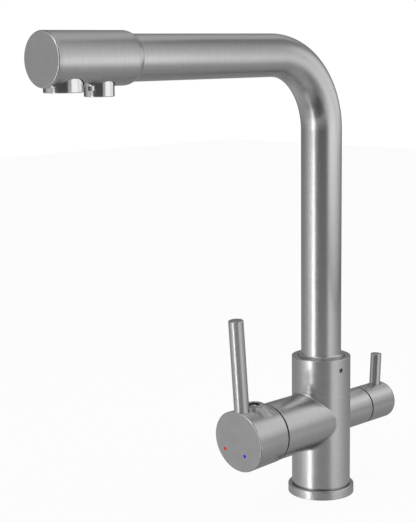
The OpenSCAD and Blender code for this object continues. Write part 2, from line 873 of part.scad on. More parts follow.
module filter_lever_stud() {
  color("gray") filter_lever_frame() span(filter_stud_r, filter_lever_floor - 5, filter_lever_floor + 6);
}

module filter_cap_screw() {
  color("dimgray") translate([0, filter_screw_y, filter_h]) difference() {
    span(filter_screw_r, -filter_r + 3, -spline_r - touch);
    translate([0, 0, -filter_r + 2]) cylinder(r = 1.15, h = 3, $fn = 6);
  }
}

base_seal();
foot_ring();
main_body();
cartridge_base();
port_seals();
fixed_disc();
cartridge_housing();
cartridge_nut();
dome_ring();
filter_headwork();
filter_seat_seal();
filter_fixed_disc();
filter_slip_ring();
spout_grub_screw();
spout_foot();
spout_orings();
spout_glide_rings();
spout_tube();
filtered_water_pipe();
pipe_oring();
head_shell();
head_end_disc();
filter_elbow();
outlet_collar();
aerator_housing();
aerator_insert();
aerator_seal();
filter_outlet_collar();
filter_aerator_housing();
filter_aerator_insert();
filter_aerator_seal();
cartridge_carrier();
pivot_pin();
sliding_disc();
disc_slider();
cartridge_stem();
mixer_cap();
mixer_lever();
lever_stud();
handle_screw();
screw_cover();
hot_dot();
cold_dot();
filter_spindle();
filter_turning_disc();
spindle_oring();
filter_cap();
filter_lever();
filter_lever_stud();
filter_cap_screw();
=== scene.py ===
# %% [markdown]
# This lesson dresses a kitchen mixer tap with a second, filtered-water outlet.
# The working model of the tap is already packed as a frame: fifty named pieces, each at its real size
# and place. The lesson leaves their places alone, models the outside of the tap again with rounder edges,
# gives every piece its finish, and lights the tap as a studio would.

# %% Load the frame
import json
import math

import bmesh
import bpy
from mathutils import Matrix, Vector


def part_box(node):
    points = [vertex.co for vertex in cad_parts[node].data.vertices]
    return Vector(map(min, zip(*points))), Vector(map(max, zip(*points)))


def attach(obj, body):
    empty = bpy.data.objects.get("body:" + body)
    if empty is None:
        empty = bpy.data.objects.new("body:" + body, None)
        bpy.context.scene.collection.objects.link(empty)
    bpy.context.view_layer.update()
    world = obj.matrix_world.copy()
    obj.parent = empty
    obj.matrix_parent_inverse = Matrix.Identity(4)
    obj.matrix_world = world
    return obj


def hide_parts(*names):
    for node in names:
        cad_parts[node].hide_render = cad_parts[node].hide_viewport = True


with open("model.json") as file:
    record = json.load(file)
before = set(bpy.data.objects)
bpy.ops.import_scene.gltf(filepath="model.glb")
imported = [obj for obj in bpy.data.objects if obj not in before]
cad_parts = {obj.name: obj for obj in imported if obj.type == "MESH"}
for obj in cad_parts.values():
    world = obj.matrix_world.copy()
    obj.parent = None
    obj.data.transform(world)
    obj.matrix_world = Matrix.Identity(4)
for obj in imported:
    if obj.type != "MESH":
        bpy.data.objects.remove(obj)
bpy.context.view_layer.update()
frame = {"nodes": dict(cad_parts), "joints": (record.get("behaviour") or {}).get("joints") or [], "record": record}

nodes = frame["nodes"]
MM = 0.001
print("pieces in the frame:", len(nodes))

# %% [markdown]
# Sizes come from the frame, so that each new piece lands exactly on the solid that it stands for.
# The tap is a family of round pieces on five axes: the upright body, the mixer arm to the front, the
# filter arm to the back, the level spout and the two levers. A box gives a radius and two ends, and the
# joints give the heights of the arms.

# %% Read the main sizes
joints = {joint["name"]: joint for joint in frame["joints"]}
SWIVEL_Z = joints["spout_swivel"]["pos_m"][2]
PIVOT = Vector(joints["mixer_turn"]["pos_m"])
FILTER_PIVOT = Vector(joints["filter_turn"]["pos_m"])
FOOT_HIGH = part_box("foot_ring")[1]
BODY_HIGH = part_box("main_body")[1]
TUBE_LOW, TUBE_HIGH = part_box("spout_tube")
HEAD_LOW, HEAD_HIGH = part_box("head_shell")
DISC_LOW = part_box("head_end_disc")[0]
CAP_LOW, CAP_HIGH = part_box("mixer_cap")
DOME_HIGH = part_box("dome_ring")[1]
FILTER_CAP_LOW, FILTER_CAP_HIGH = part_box("filter_cap")
BODY_R = BODY_HIGH.x
TUBE_R = TUBE_HIGH.x
HEAD_R = HEAD_HIGH.x
ARM_R = DOME_HIGH.x
FILTER_R = FILTER_CAP_HIGH.x
SPOUT_Z = TUBE_HIGH.z - TUBE_R
print("body radius", round(BODY_R / MM, 2), "mm, spout axis", round(SPOUT_Z / MM, 1), "mm high")

# %% [markdown]
# Every turned piece is drawn once as half of its section, as a person at a lathe would think of it, and
# spun round its axis. An axis is a matrix that turns the local Z onto it. The arms point along -Y and +Y,
# so their matrices lay the local Z down, and the levers lean a little.

# %% Name the axes
LEVER_LEAN = math.radians(4.6)
FILTER_LEAN = math.radians(4)


def lift(distance):
    """A move along the local Z axis."""
    return Matrix.Translation((0, 0, distance))


LAY_FORWARD = Matrix.Rotation(math.pi / 2, 4, "X")
LAY_BACK = Matrix.Rotation(math.pi, 4, "Z") @ LAY_FORWARD
UPRIGHT = Matrix.Identity(4)
FRONT = lift(PIVOT.z) @ LAY_FORWARD
BACK = lift(FILTER_PIVOT.z) @ LAY_BACK
LEVEL = lift(SPOUT_Z) @ LAY_FORWARD
print("axes named: upright, front, back, level")

# %% [markdown]
# The spin is a bmesh operator. A corner of the section can carry a third number, the distance at which
# its rounding starts, and a vertex bevel turns that corner into an arc before the spin. A full spin needs
# use_merge, so that the last ring closes on the first. Points on the axis come out many times over, and
# remove_doubles makes one pole of them. Then the normals are recalculated, because a spin can leave
# them pointing inwards.

# %% Turn a section into a piece
AROUND = 160
ROUNDING_STEPS = 5
SAME_POINT = 1e-6


def arc(centre, radius, start, end, steps=12):
    """Points of a circular arc in a section, from one angle to another, in degrees."""
    angles = [math.radians(start + (end - start) * i / steps) for i in range(steps + 1)]
    return [(centre[0] + radius * math.cos(a), centre[1] + radius * math.sin(a)) for a in angles]


def turned(section, around=AROUND):
    """Spins a section of (radius, height, rounding) corners, in metres, round the Z axis."""
    bm = bmesh.new()
    corners = [bm.verts.new((corner[0], 0, corner[1])) for corner in section]
    ring = [] if section[0][0] == section[-1][0] == 0 else [(corners[-1], corners[0])]
    for pair in list(zip(corners, corners[1:])) + ring:
        bm.edges.new(pair)
    for vert, corner in zip(corners, section):
        if len(corner) > 2:
            bmesh.ops.bevel(bm, geom=[vert], offset=corner[2], offset_type="OFFSET", profile=0.5,
                            segments=ROUNDING_STEPS, affect="VERTICES", material=-1)
    bmesh.ops.spin(bm, geom=bm.verts[:] + bm.edges[:], cent=(0, 0, 0), axis=(0, 0, 1), dvec=(0, 0, 0),
                   angle=2 * math.pi, steps=around, use_merge=True, use_duplicate=False)
    bmesh.ops.remove_doubles(bm, verts=bm.verts[:], dist=SAME_POINT)
    bmesh.ops.recalc_face_normals(bm, faces=bm.faces[:])
    return bm


# %% [markdown]
# Brushed metal needs to know which way its fine lines run. On a turned piece they run round it, so each
# piece gets a UV map in which U counts turns and V is the length along the axis less the distance from
# it. A face that crosses the seam has to stay on one side of it, so its corners are counted from the
# turn at its middle.

# %% Wrap the map of the brushing round a piece
LINES = "brushing"


def round_axis(co):
    """Turn and length of a point on a piece that was spun round the local Z axis."""
    return math.atan2(co.y, co.x) / (2 * math.pi), co.z - math.hypot(co.x, co.y), math.hypot(co.x, co.y)


def wrap(bm, place=round_axis):
    """Writes the brushing map, with U in turns and V in metres."""
    layer = bm.loops.layers.uv.new(LINES)
    for face in bm.faces:
        middle = place(face.calc_center_median())[0]
        for loop in face.loops:
            turn, length, distance = place(loop.vert.co)
            turn = middle if distance < SAME_POINT else turn + round(middle - turn)
            loop[layer].uv = (turn, length)


# %% [markdown]
# A piece is finished in the same way each time. Its mesh is laid on its axis, so that the object itself
# can stay at the origin. Most pieces come straight off the lathe: turned, wrapped and laid in place.
# Smooth shading is cut at real edges by angle, and a Weighted Normal modifier keeps the long straight
# walls from picking up the tilt of the small roundings beside them.

# %% Finish a piece
SHARP_ANGLE = math.radians(32)


def piece_from(bm, name, axis=UPRIGHT):
    """Lays the bmesh on its axis and makes an object of it."""
    bmesh.ops.transform(bm, matrix=axis, verts=bm.verts[:])
    mesh = bpy.data.meshes.new(name)
    bm.to_mesh(mesh)
    bm.free()
    piece = bpy.data.objects.new(name, mesh)
    bpy.context.scene.collection.objects.link(piece)
    return piece


def lathe_piece(section, name, axis=UPRIGHT, around=AROUND):
    """Turns a section, wraps the map of the brushing round it and lays it on its axis."""
    bm = turned(section, around)
    wrap(bm)
    return piece_from(bm, name, axis)


def finish_piece(piece, body, material, slot, *stands_for):
    """Shades the piece, gives it its finish or painted shade, and lets it ride on its body in place of the named
    nodes.
    """
    piece.data.shade_smooth()
    piece.data.set_sharp_from_angle(angle=SHARP_ANGLE)
    normals = piece.modifiers.new("even normals", "WEIGHTED_NORMAL")
    normals.keep_sharp = True
    piece.data.materials.clear()
    piece.data.materials.append(material)
    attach(piece, body)
    if stands_for:
        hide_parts(*stands_for)
    print(piece.name, len(piece.data.polygons), "faces")


# %% [markdown]
# The flat end faces were blasted and not brushed, so they look even. The wall of a narrow recess lies in
# its own shade, and a near-black material paints that shade on it. Such a part of a piece takes a second
# material. A test on local points picks its polygons.

# %% Give a part of a piece its own finish or painted shade
FLAT = 1e-5


def finish_or_painted_shade_part(piece, material, place, belongs):
    """Puts another material on the polygons whose corners all pass the test, seen from a place."""
    piece.data.materials.append(material)
    index = len(piece.data.materials) - 1
    from_piece = (piece.matrix_world.inverted() @ place).inverted()
    for polygon in piece.data.polygons:
        if all(belongs(from_piece @ piece.data.vertices[i].co) for i in polygon.vertices):
            polygon.material_index = index


def in_plane(co):
    """True for a point in the local XY plane."""
    return abs(co.z) < FLAT


# %% [markdown]
# Holes are cut with the exact Boolean solver, as a drill cuts them, and the result is kept as the piece's
# own mesh. The cutter is thrown away.

# %% Cut one shape out of another
BIT_AROUND = 64


def combine(piece, other, operation="DIFFERENCE"):
    """Cuts the other shape out of the piece, or joins it on, and throws the other away."""
    modifier = piece.modifiers.new("cut", "BOOLEAN")
    modifier.object = other
    modifier.operation = operation
    modifier.solver = "EXACT"
    shape = bpy.data.meshes.new_from_object(piece.evaluated_get(bpy.context.evaluated_depsgraph_get()))
    piece.modifiers.clear()
    piece.data, old = shape, piece.data
    bpy.data.meshes.remove(old)
    bpy.data.objects.remove(other)
    return piece


def drill(piece, radius, low, high, axis):
    """Cuts a round hole along an axis, from one height on it to another."""
    bit = lathe_piece([(0, low), (radius, low), (radius, high), (0, high)], "bit", axis, BIT_AROUND)
    return combine(piece, bit)


# %% [markdown]
# The finish comes before the pieces. The tap is brushed nickel: a warm pale metal whose surface was
# drawn over an abrasive belt, which leaves thousands of fine lines round each piece. The lines are a
# noise that is stretched round the axis. The cosine and sine of the turn stand in for the turn itself,
# so the noise closes on itself without a seam. Both brushed materials use these lines, so they are a
# node group, which gives out a tone, a height and a slow cloud that wears the surface unevenly.

# %% Build the group for brushed lines
FINE_LINES = 1800.0
LINE_REACH = 2.5
CLOUD_LINES = 40.0


def add_node(tree, kind, **settings):
    """Adds a node and sets its properties and the values of its input sockets."""
    node = tree.nodes.new(kind)
    for key, value in settings.items():
        if hasattr(node, key):
            setattr(node, key, value)
        else:
            node.inputs[key.replace("_", " ")].default_value = value
    return node


def calculate(tree, operation, first, second=None):
    """Adds a Math node that works on sockets or plain numbers."""
    node = tree.nodes.new("ShaderNodeMath")
    node.operation = operation
    for socket, value in zip(node.inputs, (first, second)):
        if isinstance(value, (int, float)):
            socket.default_value = value
        elif value is not None:
            tree.links.new(value, socket)
    return node.outputs[0]


def new_group(name, inputs, outputs):
    """Starts a shader node group with number sockets; inputs map names to their usual values."""
    group = bpy.data.node_groups.new(name, "ShaderNodeTree")
    for label, value in inputs.items():
        kind = "NodeSocketVector" if value is None else "NodeSocketFloat"
        socket = group.interface.new_socket(name=label, in_out="INPUT", socket_type=kind)
        if value is not None:
            socket.default_value = value
    for label in outputs:
        group.interface.new_socket(name=label, in_out="OUTPUT", socket_type="NodeSocketFloat")
    return group, group.nodes.new("NodeGroupInput"), group.nodes.new("NodeGroupOutput")


def brushed_lines():
    """Fine lines that run round a piece: a tone, a height and a cloud, each from 0 to 1."""
    group, start, end = new_group("brushed lines", {"Map": None, "Lines": FINE_LINES, "Reach": LINE_REACH},
                                  ["Tone", "Height", "Cloud"])
    split = group.nodes.new("ShaderNodeSeparateXYZ")
    group.links.new(start.outputs["Map"], split.inputs[0])
    angle = calculate(group, "MULTIPLY", split.outputs["X"], 2 * math.pi)
    place = group.nodes.new("ShaderNodeCombineXYZ")
    cloud_place = group.nodes.new("ShaderNodeCombineXYZ")
    for axis, operation in enumerate(("COSINE", "SINE")):
        side = calculate(group, operation, angle)
        group.links.new(calculate(group, "MULTIPLY", side, start.outputs["Reach"]), place.inputs[axis])
        group.links.new(side, cloud_place.inputs[axis])
    group.links.new(calculate(group, "MULTIPLY", split.outputs["Y"], start.outputs["Lines"]),
                    place.inputs[2])
    group.links.new(calculate(group, "MULTIPLY", split.outputs["Y"], CLOUD_LINES), cloud_place.inputs[2])
    noise = add_node(group, "ShaderNodeTexNoise", Scale=1.0, Detail=3.0, Roughness=0.6)
    cloud = add_node(group, "ShaderNodeTexNoise", Scale=1.4, Detail=3.0, Roughness=0.5)
    group.links.new(place.outputs[0], noise.inputs["Vector"])
    group.links.new(cloud_place.outputs[0], cloud.inputs["Vector"])
    group.links.new(noise.outputs[0], end.inputs["Tone"])
    group.links.new(noise.outputs[0], end.inputs["Height"])
    group.links.new(cloud.outputs[0], end.inputs["Cloud"])
    return group


LINES_GROUP = brushed_lines()
print("group made:", LINES_GROUP.name)

# %% [markdown]
# The shader itself stays in the material. Belt-brushed metal scatters light far across its lines and
# little along them, which is why the reflections on the tap are long bands with crisp sides.
# The Anisotropic value does this, and the Tangent node reads the brushing map, so it knows where the
# The lines also move the colour and the roughness a little and lift a faint bump. The two
# outlet collars are the same metal, polished smoother, with a lighter colour that is a painted sheen.

# %% Mix brushed nickel
STRETCH = 0.92
LINE_SHARE, CLOUD_SHARE = 0.6, 0.4
LINE_DEPTH = 0.02 * MM


def new_material(name, colour, roughness, metallic=0.0):
    """A material with its Principled shader set to plain values."""
    material = bpy.data.materials.new(name)
    material.use_nodes = True
    shader = material.node_tree.nodes["Principled BSDF"]
    shader.inputs["Base Color"].default_value = (*colour, 1)
    shader.inputs["Roughness"].default_value = roughness
    shader.inputs["Metallic"].default_value = metallic
    return material, material.node_tree, shader


def blend_between(tree, factor, low, high):
    """A value or a colour that runs from low to high as the factor runs from 0 to 1."""
    if isinstance(low, tuple):
        node = add_node(tree, "ShaderNodeMix", data_type="RGBA")
        sockets = [s for s in node.inputs if s.type == "RGBA"]
        sockets[0].default_value = (*low, 1)
        sockets[1].default_value = (*high, 1)
        tree.links.new(factor, node.inputs["Factor"])
        return [s for s in node.outputs if s.type == "RGBA"][0]
    node = tree.nodes.new("ShaderNodeMapRange")
    node.inputs["To Min"].default_value = low
    node.inputs["To Max"].default_value = high
    tree.links.new(factor, node.inputs["Value"])
    return node.outputs[0]


def brushed_metal(name, dark, light, roughness, bump=0.1):
    """Metal with fine lines round each piece, between two colours and two roughnesses."""
    material, tree, shader = new_material(name, light, roughness[0], metallic=1.0)
    shader.inputs["Anisotropic"].default_value = STRETCH
    uv = add_node(tree, "ShaderNodeUVMap", uv_map=LINES)
    group = tree.nodes.new("ShaderNodeGroup")
    group.node_tree = LINES_GROUP
    tree.links.new(uv.outputs[0], group.inputs["Map"])
    tree.links.new(blend_between(tree, group.outputs["Tone"], dark, light), shader.inputs["Base Color"])
    shade = calculate(tree, "MULTIPLY", group.outputs["Tone"], LINE_SHARE)
    mixed = calculate(tree, "MULTIPLY_ADD", group.outputs["Cloud"], CLOUD_SHARE)
    tree.links.new(shade, mixed.node.inputs[2])
    tree.links.new(blend_between(tree, mixed, *roughness), shader.inputs["Roughness"])
    tangent = add_node(tree, "ShaderNodeTangent", direction_type="UV_MAP", uv_map=LINES)
    tree.links.new(tangent.outputs[0], shader.inputs["Tangent"])
    relief = add_node(tree, "ShaderNodeBump", Strength=bump, Distance=LINE_DEPTH)
    tree.links.new(group.outputs["Height"], relief.inputs["Height"])
    tree.links.new(relief.outputs[0], shader.inputs["Normal"])
    return material


nickel = brushed_metal("brushed nickel", (0.50, 0.50, 0.50), (0.64, 0.64, 0.64), (0.16, 0.24))
# Polished nickel: smoother, and its lighter colour is a painted sheen that brightens the collars' band.
polished_painted_sheen_nickel = brushed_metal("polished nickel painted sheen", (0.74, 0.74, 0.74), (0.84, 0.84, 0.84), (0.08, 0.13),
                                bump=0.04)
BRUSHED = (nickel, "brushed_nickel")
print("materials:", nickel.name, "and", polished_painted_sheen_nickel.name)

# %% [markdown]
# The hidden pieces have other finishes: sawn brass, ground steel, dense white ceramic, moulded plastic
# and black rubber. So have the chrome plug, the enamel dots and the blasted flat faces, while the walls
# that lie in shade take a near-black painted shade. They need no brushing map: their grain is a noise on
# Object coordinates, which lie still on the piece wherever it moves. One group makes a grain of any size.

# %% Mix the other finishes and the painted shade
GRAIN_SCALE, SATIN_SCALE = 400.0, 900.0
COARSE_SHARE = 0.12
GRAIN_BUMP = 0.05
GRAIN_DEPTH = 0.05 * MM


def surface_grain():
    """An even grain on Object coordinates, fine and coarse together."""
    group, start, end = new_group("surface grain", {"Position": None, "Scale": GRAIN_SCALE},
                                  ["Fine", "Coarse"])
    for label, share, detail in (("Fine", 1.0, 4.0), ("Coarse", COARSE_SHARE, 2.0)):
        noise = add_node(group, "ShaderNodeTexNoise", Detail=detail)
        group.links.new(start.outputs["Position"], noise.inputs["Vector"])
        scale = calculate(group, "MULTIPLY", start.outputs["Scale"], share)
        group.links.new(scale, noise.inputs["Scale"])
        group.links.new(noise.outputs[0], end.inputs[label])
    return group


GRAIN_GROUP = surface_grain()


def grained(name, dark, light, roughness, metallic=0.0, scale=GRAIN_SCALE):
    """A finish with an even grain between two colours and two roughnesses."""
    material, tree, shader = new_material(name, light, roughness[0], metallic)
    place = tree.nodes.new("ShaderNodeTexCoord")
    group = tree.nodes.new("ShaderNodeGroup")
    group.node_tree = GRAIN_GROUP
    group.inputs["Scale"].default_value = scale
    tree.links.new(place.outputs["Object"], group.inputs["Position"])
    tree.links.new(blend_between(tree, group.outputs["Coarse"], dark, light), shader.inputs["Base Color"])
    tree.links.new(blend_between(tree, group.outputs["Fine"], *roughness), shader.inputs["Roughness"])
    relief = add_node(tree, "ShaderNodeBump", Strength=GRAIN_BUMP, Distance=GRAIN_DEPTH)
    tree.links.new(group.outputs["Fine"], relief.inputs["Height"])
    tree.links.new(relief.outputs[0], shader.inputs["Normal"])
    return material


finishes = {
    "bright_chrome": grained("bright chrome", (0.72, 0.72, 0.73), (0.78, 0.78, 0.79), (0.04, 0.09), 1.0),
    "bare_steel": grained("bare steel", (0.42, 0.42, 0.43), (0.56, 0.56, 0.57), (0.25, 0.38), 1.0),
    "bare_brass": grained("bare brass", (0.62, 0.43, 0.17), (0.78, 0.57, 0.27), (0.24, 0.36), 1.0),
    "pale_plastic": grained("pale plastic", (0.72, 0.71, 0.68), (0.82, 0.81, 0.78), (0.38, 0.5)),
    "dark_plastic": grained("dark plastic", (0.05, 0.05, 0.055), (0.08, 0.08, 0.085), (0.4, 0.55)),
    "white_ceramic": grained("white ceramic", (0.82, 0.82, 0.8), (0.9, 0.9, 0.88), (0.12, 0.2)),
    "black_rubber": grained("black rubber", (0.018, 0.018, 0.018), (0.035, 0.035, 0.035), (0.6, 0.8)),
    "red_enamel": grained("red enamel", (0.85, 0.0, 0.0), (0.95, 0.004, 0.004), (0.35, 0.45)),
    "blue_enamel": grained("blue enamel", (0.0, 0.0, 0.85), (0.004, 0.004, 0.95), (0.35, 0.45)),
    "brushed_nickel": nickel,
}
# Painted shade: a near-black, barely metallic material put on walls and seams where only shade falls; the metal
# there is nickel.
painted_shade_nickel = grained("painted shade nickel", (0.025, 0.025, 0.025), (0.04, 0.04, 0.04), (0.5, 0.65), 0.3)
satin_nickel = grained("satin nickel", (0.50, 0.50, 0.50), (0.60, 0.60, 0.60), (0.26, 0.34), 1.0,
                       scale=SATIN_SCALE)
print("finishes:", ", ".join(finishes))

# %% [markdown]
# Each carried-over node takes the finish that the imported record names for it.

# %% Give every node of the frame its finish
slot_of = {row["node"]: row["material_slot"] for row in frame["record"]["subparts"]}
for name, node in nodes.items():
    node.data.materials.clear()
    node.data.materials.append(finishes[slot_of[name]])
print("nodes with a finish:", len(nodes), "in slots:", len(set(slot_of.values())))

# %% [markdown]
# The foot ring is a plain turned washer with a rounded upper edge. It lifts the body off the worktop and
# hides the seal.

# %% Turn the foot ring
EDGE = 0.35 * MM
FOOT_ROUND = 1.2 * MM
FOOT_HOLE_R = 20.2 * MM
foot = lathe_piece([
    (FOOT_HOLE_R, 0, EDGE), (FOOT_HIGH.x, 0, EDGE),
    (FOOT_HIGH.x, FOOT_HIGH.z, FOOT_ROUND), (FOOT_HOLE_R, FOOT_HIGH.z, EDGE),
], "foot_ring_turned")
finish_piece(foot, "tap_body", *BRUSHED, "foot_ring")

# %% [markdown]
# The upright body is a tube with a floor. A narrow neck above the foot ring makes the shadow line that
# the eye reads as a joint. The socket in its top takes the foot of the spout. The inlets, the hole for
# the fixing stud and the small hole of the grub screw are drilled.

# %% Turn and drill the upright body
NECK_IN = 1.0 * MM
NECK_HIGH = FOOT_HIGH.z + 0.8 * MM
SOCKET_R = 18.9 * MM
SOCKET_Z = 84 * MM
TOP_EDGE = 0.6 * MM
RIM = 0.3 * MM
SPIGOT_R = 20 * MM
body = lathe_piece([
    (0, 0), (SPIGOT_R, 0, RIM), (SPIGOT_R, FOOT_HIGH.z), (BODY_R - NECK_IN, FOOT_HIGH.z),
    (BODY_R - NECK_IN, NECK_HIGH), (BODY_R, NECK_HIGH, RIM), (BODY_R, PIVOT.z), (BODY_R, SWIVEL_Z),
    (BODY_R, BODY_HIGH.z, TOP_EDGE), (SOCKET_R, BODY_HIGH.z, RIM), (SOCKET_R, SOCKET_Z), (0, SOCKET_Z),
], "upright_body")
HOSE_X, HOSE_Y, FILTER_HOSE_Y, STUD_Y = 9.5 * MM, -2 * MM, 11 * MM, -12.5 * MM
INLET_R, STUD_R, INLET_DEEP, STUD_DEEP = 4.46 * MM, 3.32 * MM, 11 * MM, 14 * MM
for x, y in ((-HOSE_X, HOSE_Y), (HOSE_X, HOSE_Y), (0, FILTER_HOSE_Y)):
    drill(body, INLET_R, -INLET_DEEP, INLET_DEEP, Matrix.Translation((x, y, 0)))
drill(body, STUD_R, -STUD_DEEP, STUD_DEEP, Matrix.Translation((0, STUD_Y, 0)))
GRUB_Z = 104.5 * MM
GRUB_TURN = math.radians(82)
GRUB_R = 1.8 * MM
grub_axis = Matrix.Rotation(GRUB_TURN, 4, "Z") @ lift(GRUB_Z) @ LAY_FORWARD
drill(body, GRUB_R, SOCKET_R - MM, 2 * BODY_R, grub_axis)
finish_piece(body, "tap_body", *BRUSHED, "main_body")

# %% [markdown]
# The two arms are tubes that run into the body, so each is turned on its own axis and its inner end
# lies inside the body's wall. A dome ring closes the mixer arm, and the handle cap tilts over it. The
# arms' end faces and the dome show only in the narrow seams, where they lie in shade, so they are
# painted near-black with painted shade, though the metal there is nickel.

# %% Turn the two arms
SEAM = 0.55 * MM
ARM_END = -DOME_HIGH.y - SEAM
ARM_INSIDE = 8 * MM
CHAMBER_R = 17.7 * MM
ARM_EDGE = 0.15 * MM
print("mixer arm ends", round(ARM_END / MM, 2), "mm from the body's axis")
arm = lathe_piece([
    (CHAMBER_R, ARM_INSIDE), (ARM_R, ARM_INSIDE), (ARM_R, ARM_END, ARM_EDGE), (CHAMBER_R, ARM_END),
], "mixer_arm", FRONT)
finish_piece(arm, "tap_body", *BRUSHED, "main_body")
# The arm's end face in the seam is painted near-black as painted shade.
finish_or_painted_shade_part(arm, painted_shade_nickel, FRONT @ lift(ARM_END), in_plane)

DOME_R = 23.3 * MM
DOME_WALL = 1.9 * MM
DOME_INNER_R = 14 * MM
DOME_STEPS = 24


def dome_arc(radius):
    """The dome's section at one radius, from the arm's end to the opening."""
    start = math.degrees(math.asin((ARM_END + PIVOT.y) / radius))
    end = math.degrees(math.acos(DOME_INNER_R / radius))
    return arc((0, -PIVOT.y), radius, start, end, DOME_STEPS)


dome = lathe_piece(dome_arc(DOME_R) + dome_arc(DOME_R - DOME_WALL)[::-1], "dome_ring_turned", FRONT)
# The nickel dome ring is painted near-black as painted shade for the seam.
finish_piece(dome, "tap_body", painted_shade_nickel, "brushed_nickel", "dome_ring")

FILTER_ARM_END = FILTER_PIVOT.y
FILTER_CHAMBER_R = 9.4 * MM
arm = lathe_piece([
    (FILTER_CHAMBER_R, ARM_INSIDE), (FILTER_R, ARM_INSIDE), (FILTER_R, FILTER_ARM_END, ARM_EDGE),
    (FILTER_CHAMBER_R, FILTER_ARM_END),
], "filter_arm", BACK)
finish_piece(arm, "tap_body", *BRUSHED, "main_body")
# The filter arm's end face is painted near-black as painted shade.
finish_or_painted_shade_part(arm, painted_shade_nickel, BACK @ lift(FILTER_ARM_END), in_plane)

# %% [markdown]
# Where an arm meets the body, the brazed joint was ground to a small hollow fillet, and that is where
# the photograph has its brightest line. The fillet is a ring. A circle is extruded step by step, and each
# new ring of points is laid where the hollow arc has it: so far from the arm's axis, and so far out
# from the body's curved wall. Beside the arm the two walls run almost into one, so the fillet
# narrows there.

# %% Lay the fillets round the arms
FILLET_STEPS = 8
FILLET_SINK = 0.5 * MM
FILLETS = {  # the arm's radius, the fillet's size above the arm and beside it, and the arm's axis
    "mixer_arm_fillet": (ARM_R, 1.3 * MM, 0.3 * MM, FRONT),
    "filter_arm_fillet": (FILTER_R, 0.7 * MM, 0.5 * MM, BACK),
}


def of_kind(kind, parts):
    """The vertices, or the edges, among the parts that an operator made."""
    return [part for part in parts if isinstance(part, kind)]


def fillet_ring(name, arm_r, high, low, axis):
    """A hollow fillet between the upright body and an arm; it is high above the arm and low beside it."""
    bm = bmesh.new()
    ring = bmesh.ops.create_circle(bm, segments=AROUND, radius=arm_r)["verts"]
    section = [(1 - math.sin(a), 1 - math.cos(a)) for a in
               (math.pi / 2 * i / FILLET_STEPS for i in range(FILLET_STEPS + 1))]

    def lay(verts, up, out, sink_up, sink_out):
        """Moves a ring of points out from the arm's axis and out from the body's wall."""
        for vert in verts:
            turn = math.atan2(vert.co.y, vert.co.x)
            size = low + (high - low) * math.sin(turn) ** 2
            distance = arm_r + up * size + sink_up
            x, y = distance * math.cos(turn), distance * math.sin(turn)
            wall = math.sqrt(max(BODY_R ** 2 - x ** 2, 0))
            vert.co = (x, y, wall + out * size + sink_out)

    places = [(up, out, 0, 0) for up, out in section]
    places += [(0, 1, -FILLET_SINK, 0), (0, 0, -FILLET_SINK, -FILLET_SINK), (1, 0, 0, -FILLET_SINK)]
    lay(ring, *places[0])
    first = bm.edges[:]
    edges = first
    for place in places[1:]:
        made = bmesh.ops.extrude_edge_only(bm, edges=edges)["geom"]
        edges = of_kind(bmesh.types.BMEdge, made)
        lay(of_kind(bmesh.types.BMVert, made), *place)
    bmesh.ops.bridge_loops(bm, edges=edges + first)
    bmesh.ops.recalc_face_normals(bm, faces=bm.faces[:])
    wrap(bm)
    return piece_from(bm, name, axis)


for name, shape in FILLETS.items():
    finish_piece(fillet_ring(name, *shape), "tap_body", *BRUSHED, "main_body")

# %% [markdown]
# The spout is one drawn tube. A circle is extruded up to the bend, spun a quarter turn about the bend's
# axis, and extruded along to the head. Its brushing map follows the tube: below the bend the length is
# the height, in the bend it is the arc, and beyond it the level way. Solidify then gives the tube its
# wall, and it is moved before the Weighted Normal modifier.

# %% Bend the spout tube
BEND_R = 58.6 * MM
BEND_Z = SPOUT_Z - BEND_R
BEND_STEPS = 48
TUBE_WALL = 1.5 * MM
TUBE_END = -TUBE_LOW.y


def along_tube(co):
    """Turn and length of a point on the spout tube."""
    if co.z < BEND_Z and co.y > -BEND_R:
        return math.atan2(co.y, co.x) / (2 * math.pi), co.z, TUBE_R
    if co.y < -BEND_R:
        turn = math.atan2(co.z - SPOUT_Z, co.x) / (2 * math.pi)
        return turn, BEND_Z + BEND_R * math.pi / 2 - co.y - BEND_R, TUBE_R
    angle = math.atan2(co.z - BEND_Z, co.y + BEND_R)
    out = math.hypot(co.z - BEND_Z, co.y + BEND_R) - BEND_R
    return math.atan2(out, co.x) / (2 * math.pi), BEND_Z + BEND_R * angle, TUBE_R


tube = bmesh.new()
bmesh.ops.create_circle(tube, segments=AROUND, radius=TUBE_R, matrix=lift(TUBE_LOW.z))
made = bmesh.ops.extrude_edge_only(tube, edges=tube.edges[:])["geom"]
ring = of_kind(bmesh.types.BMVert, made)
bmesh.ops.translate(tube, verts=ring, vec=(0, 0, BEND_Z - TUBE_LOW.z))
rim = ring + of_kind(bmesh.types.BMEdge, made)
made = bmesh.ops.spin(tube, geom=rim, cent=(0, -BEND_R, BEND_Z), axis=(1, 0, 0), dvec=(0, 0, 0),
                      angle=math.pi / 2, steps=BEND_STEPS)["geom_last"]
made = bmesh.ops.extrude_edge_only(tube, edges=of_kind(bmesh.types.BMEdge, made))["geom"]
ring = of_kind(bmesh.types.BMVert, made)
bmesh.ops.translate(tube, verts=ring, vec=(0, BEND_R - TUBE_END, 0))
bmesh.ops.recalc_face_normals(tube, faces=tube.faces[:])
wrap(tube, along_tube)
spout = piece_from(tube, "bent_spout_tube")
finish_piece(spout, "spout", *BRUSHED, "spout_tube")
wall = spout.modifiers.new("wall", "SOLIDIFY")
wall.thickness = TUBE_WALL
wall.offset = -1
spout.modifiers.move(1, 0)

# %% [markdown]
# The foot of the spout is a collar that turns in the body's socket. A hollow radius leads from the collar
# up to the tube, and the dark ring round it is the running gap.

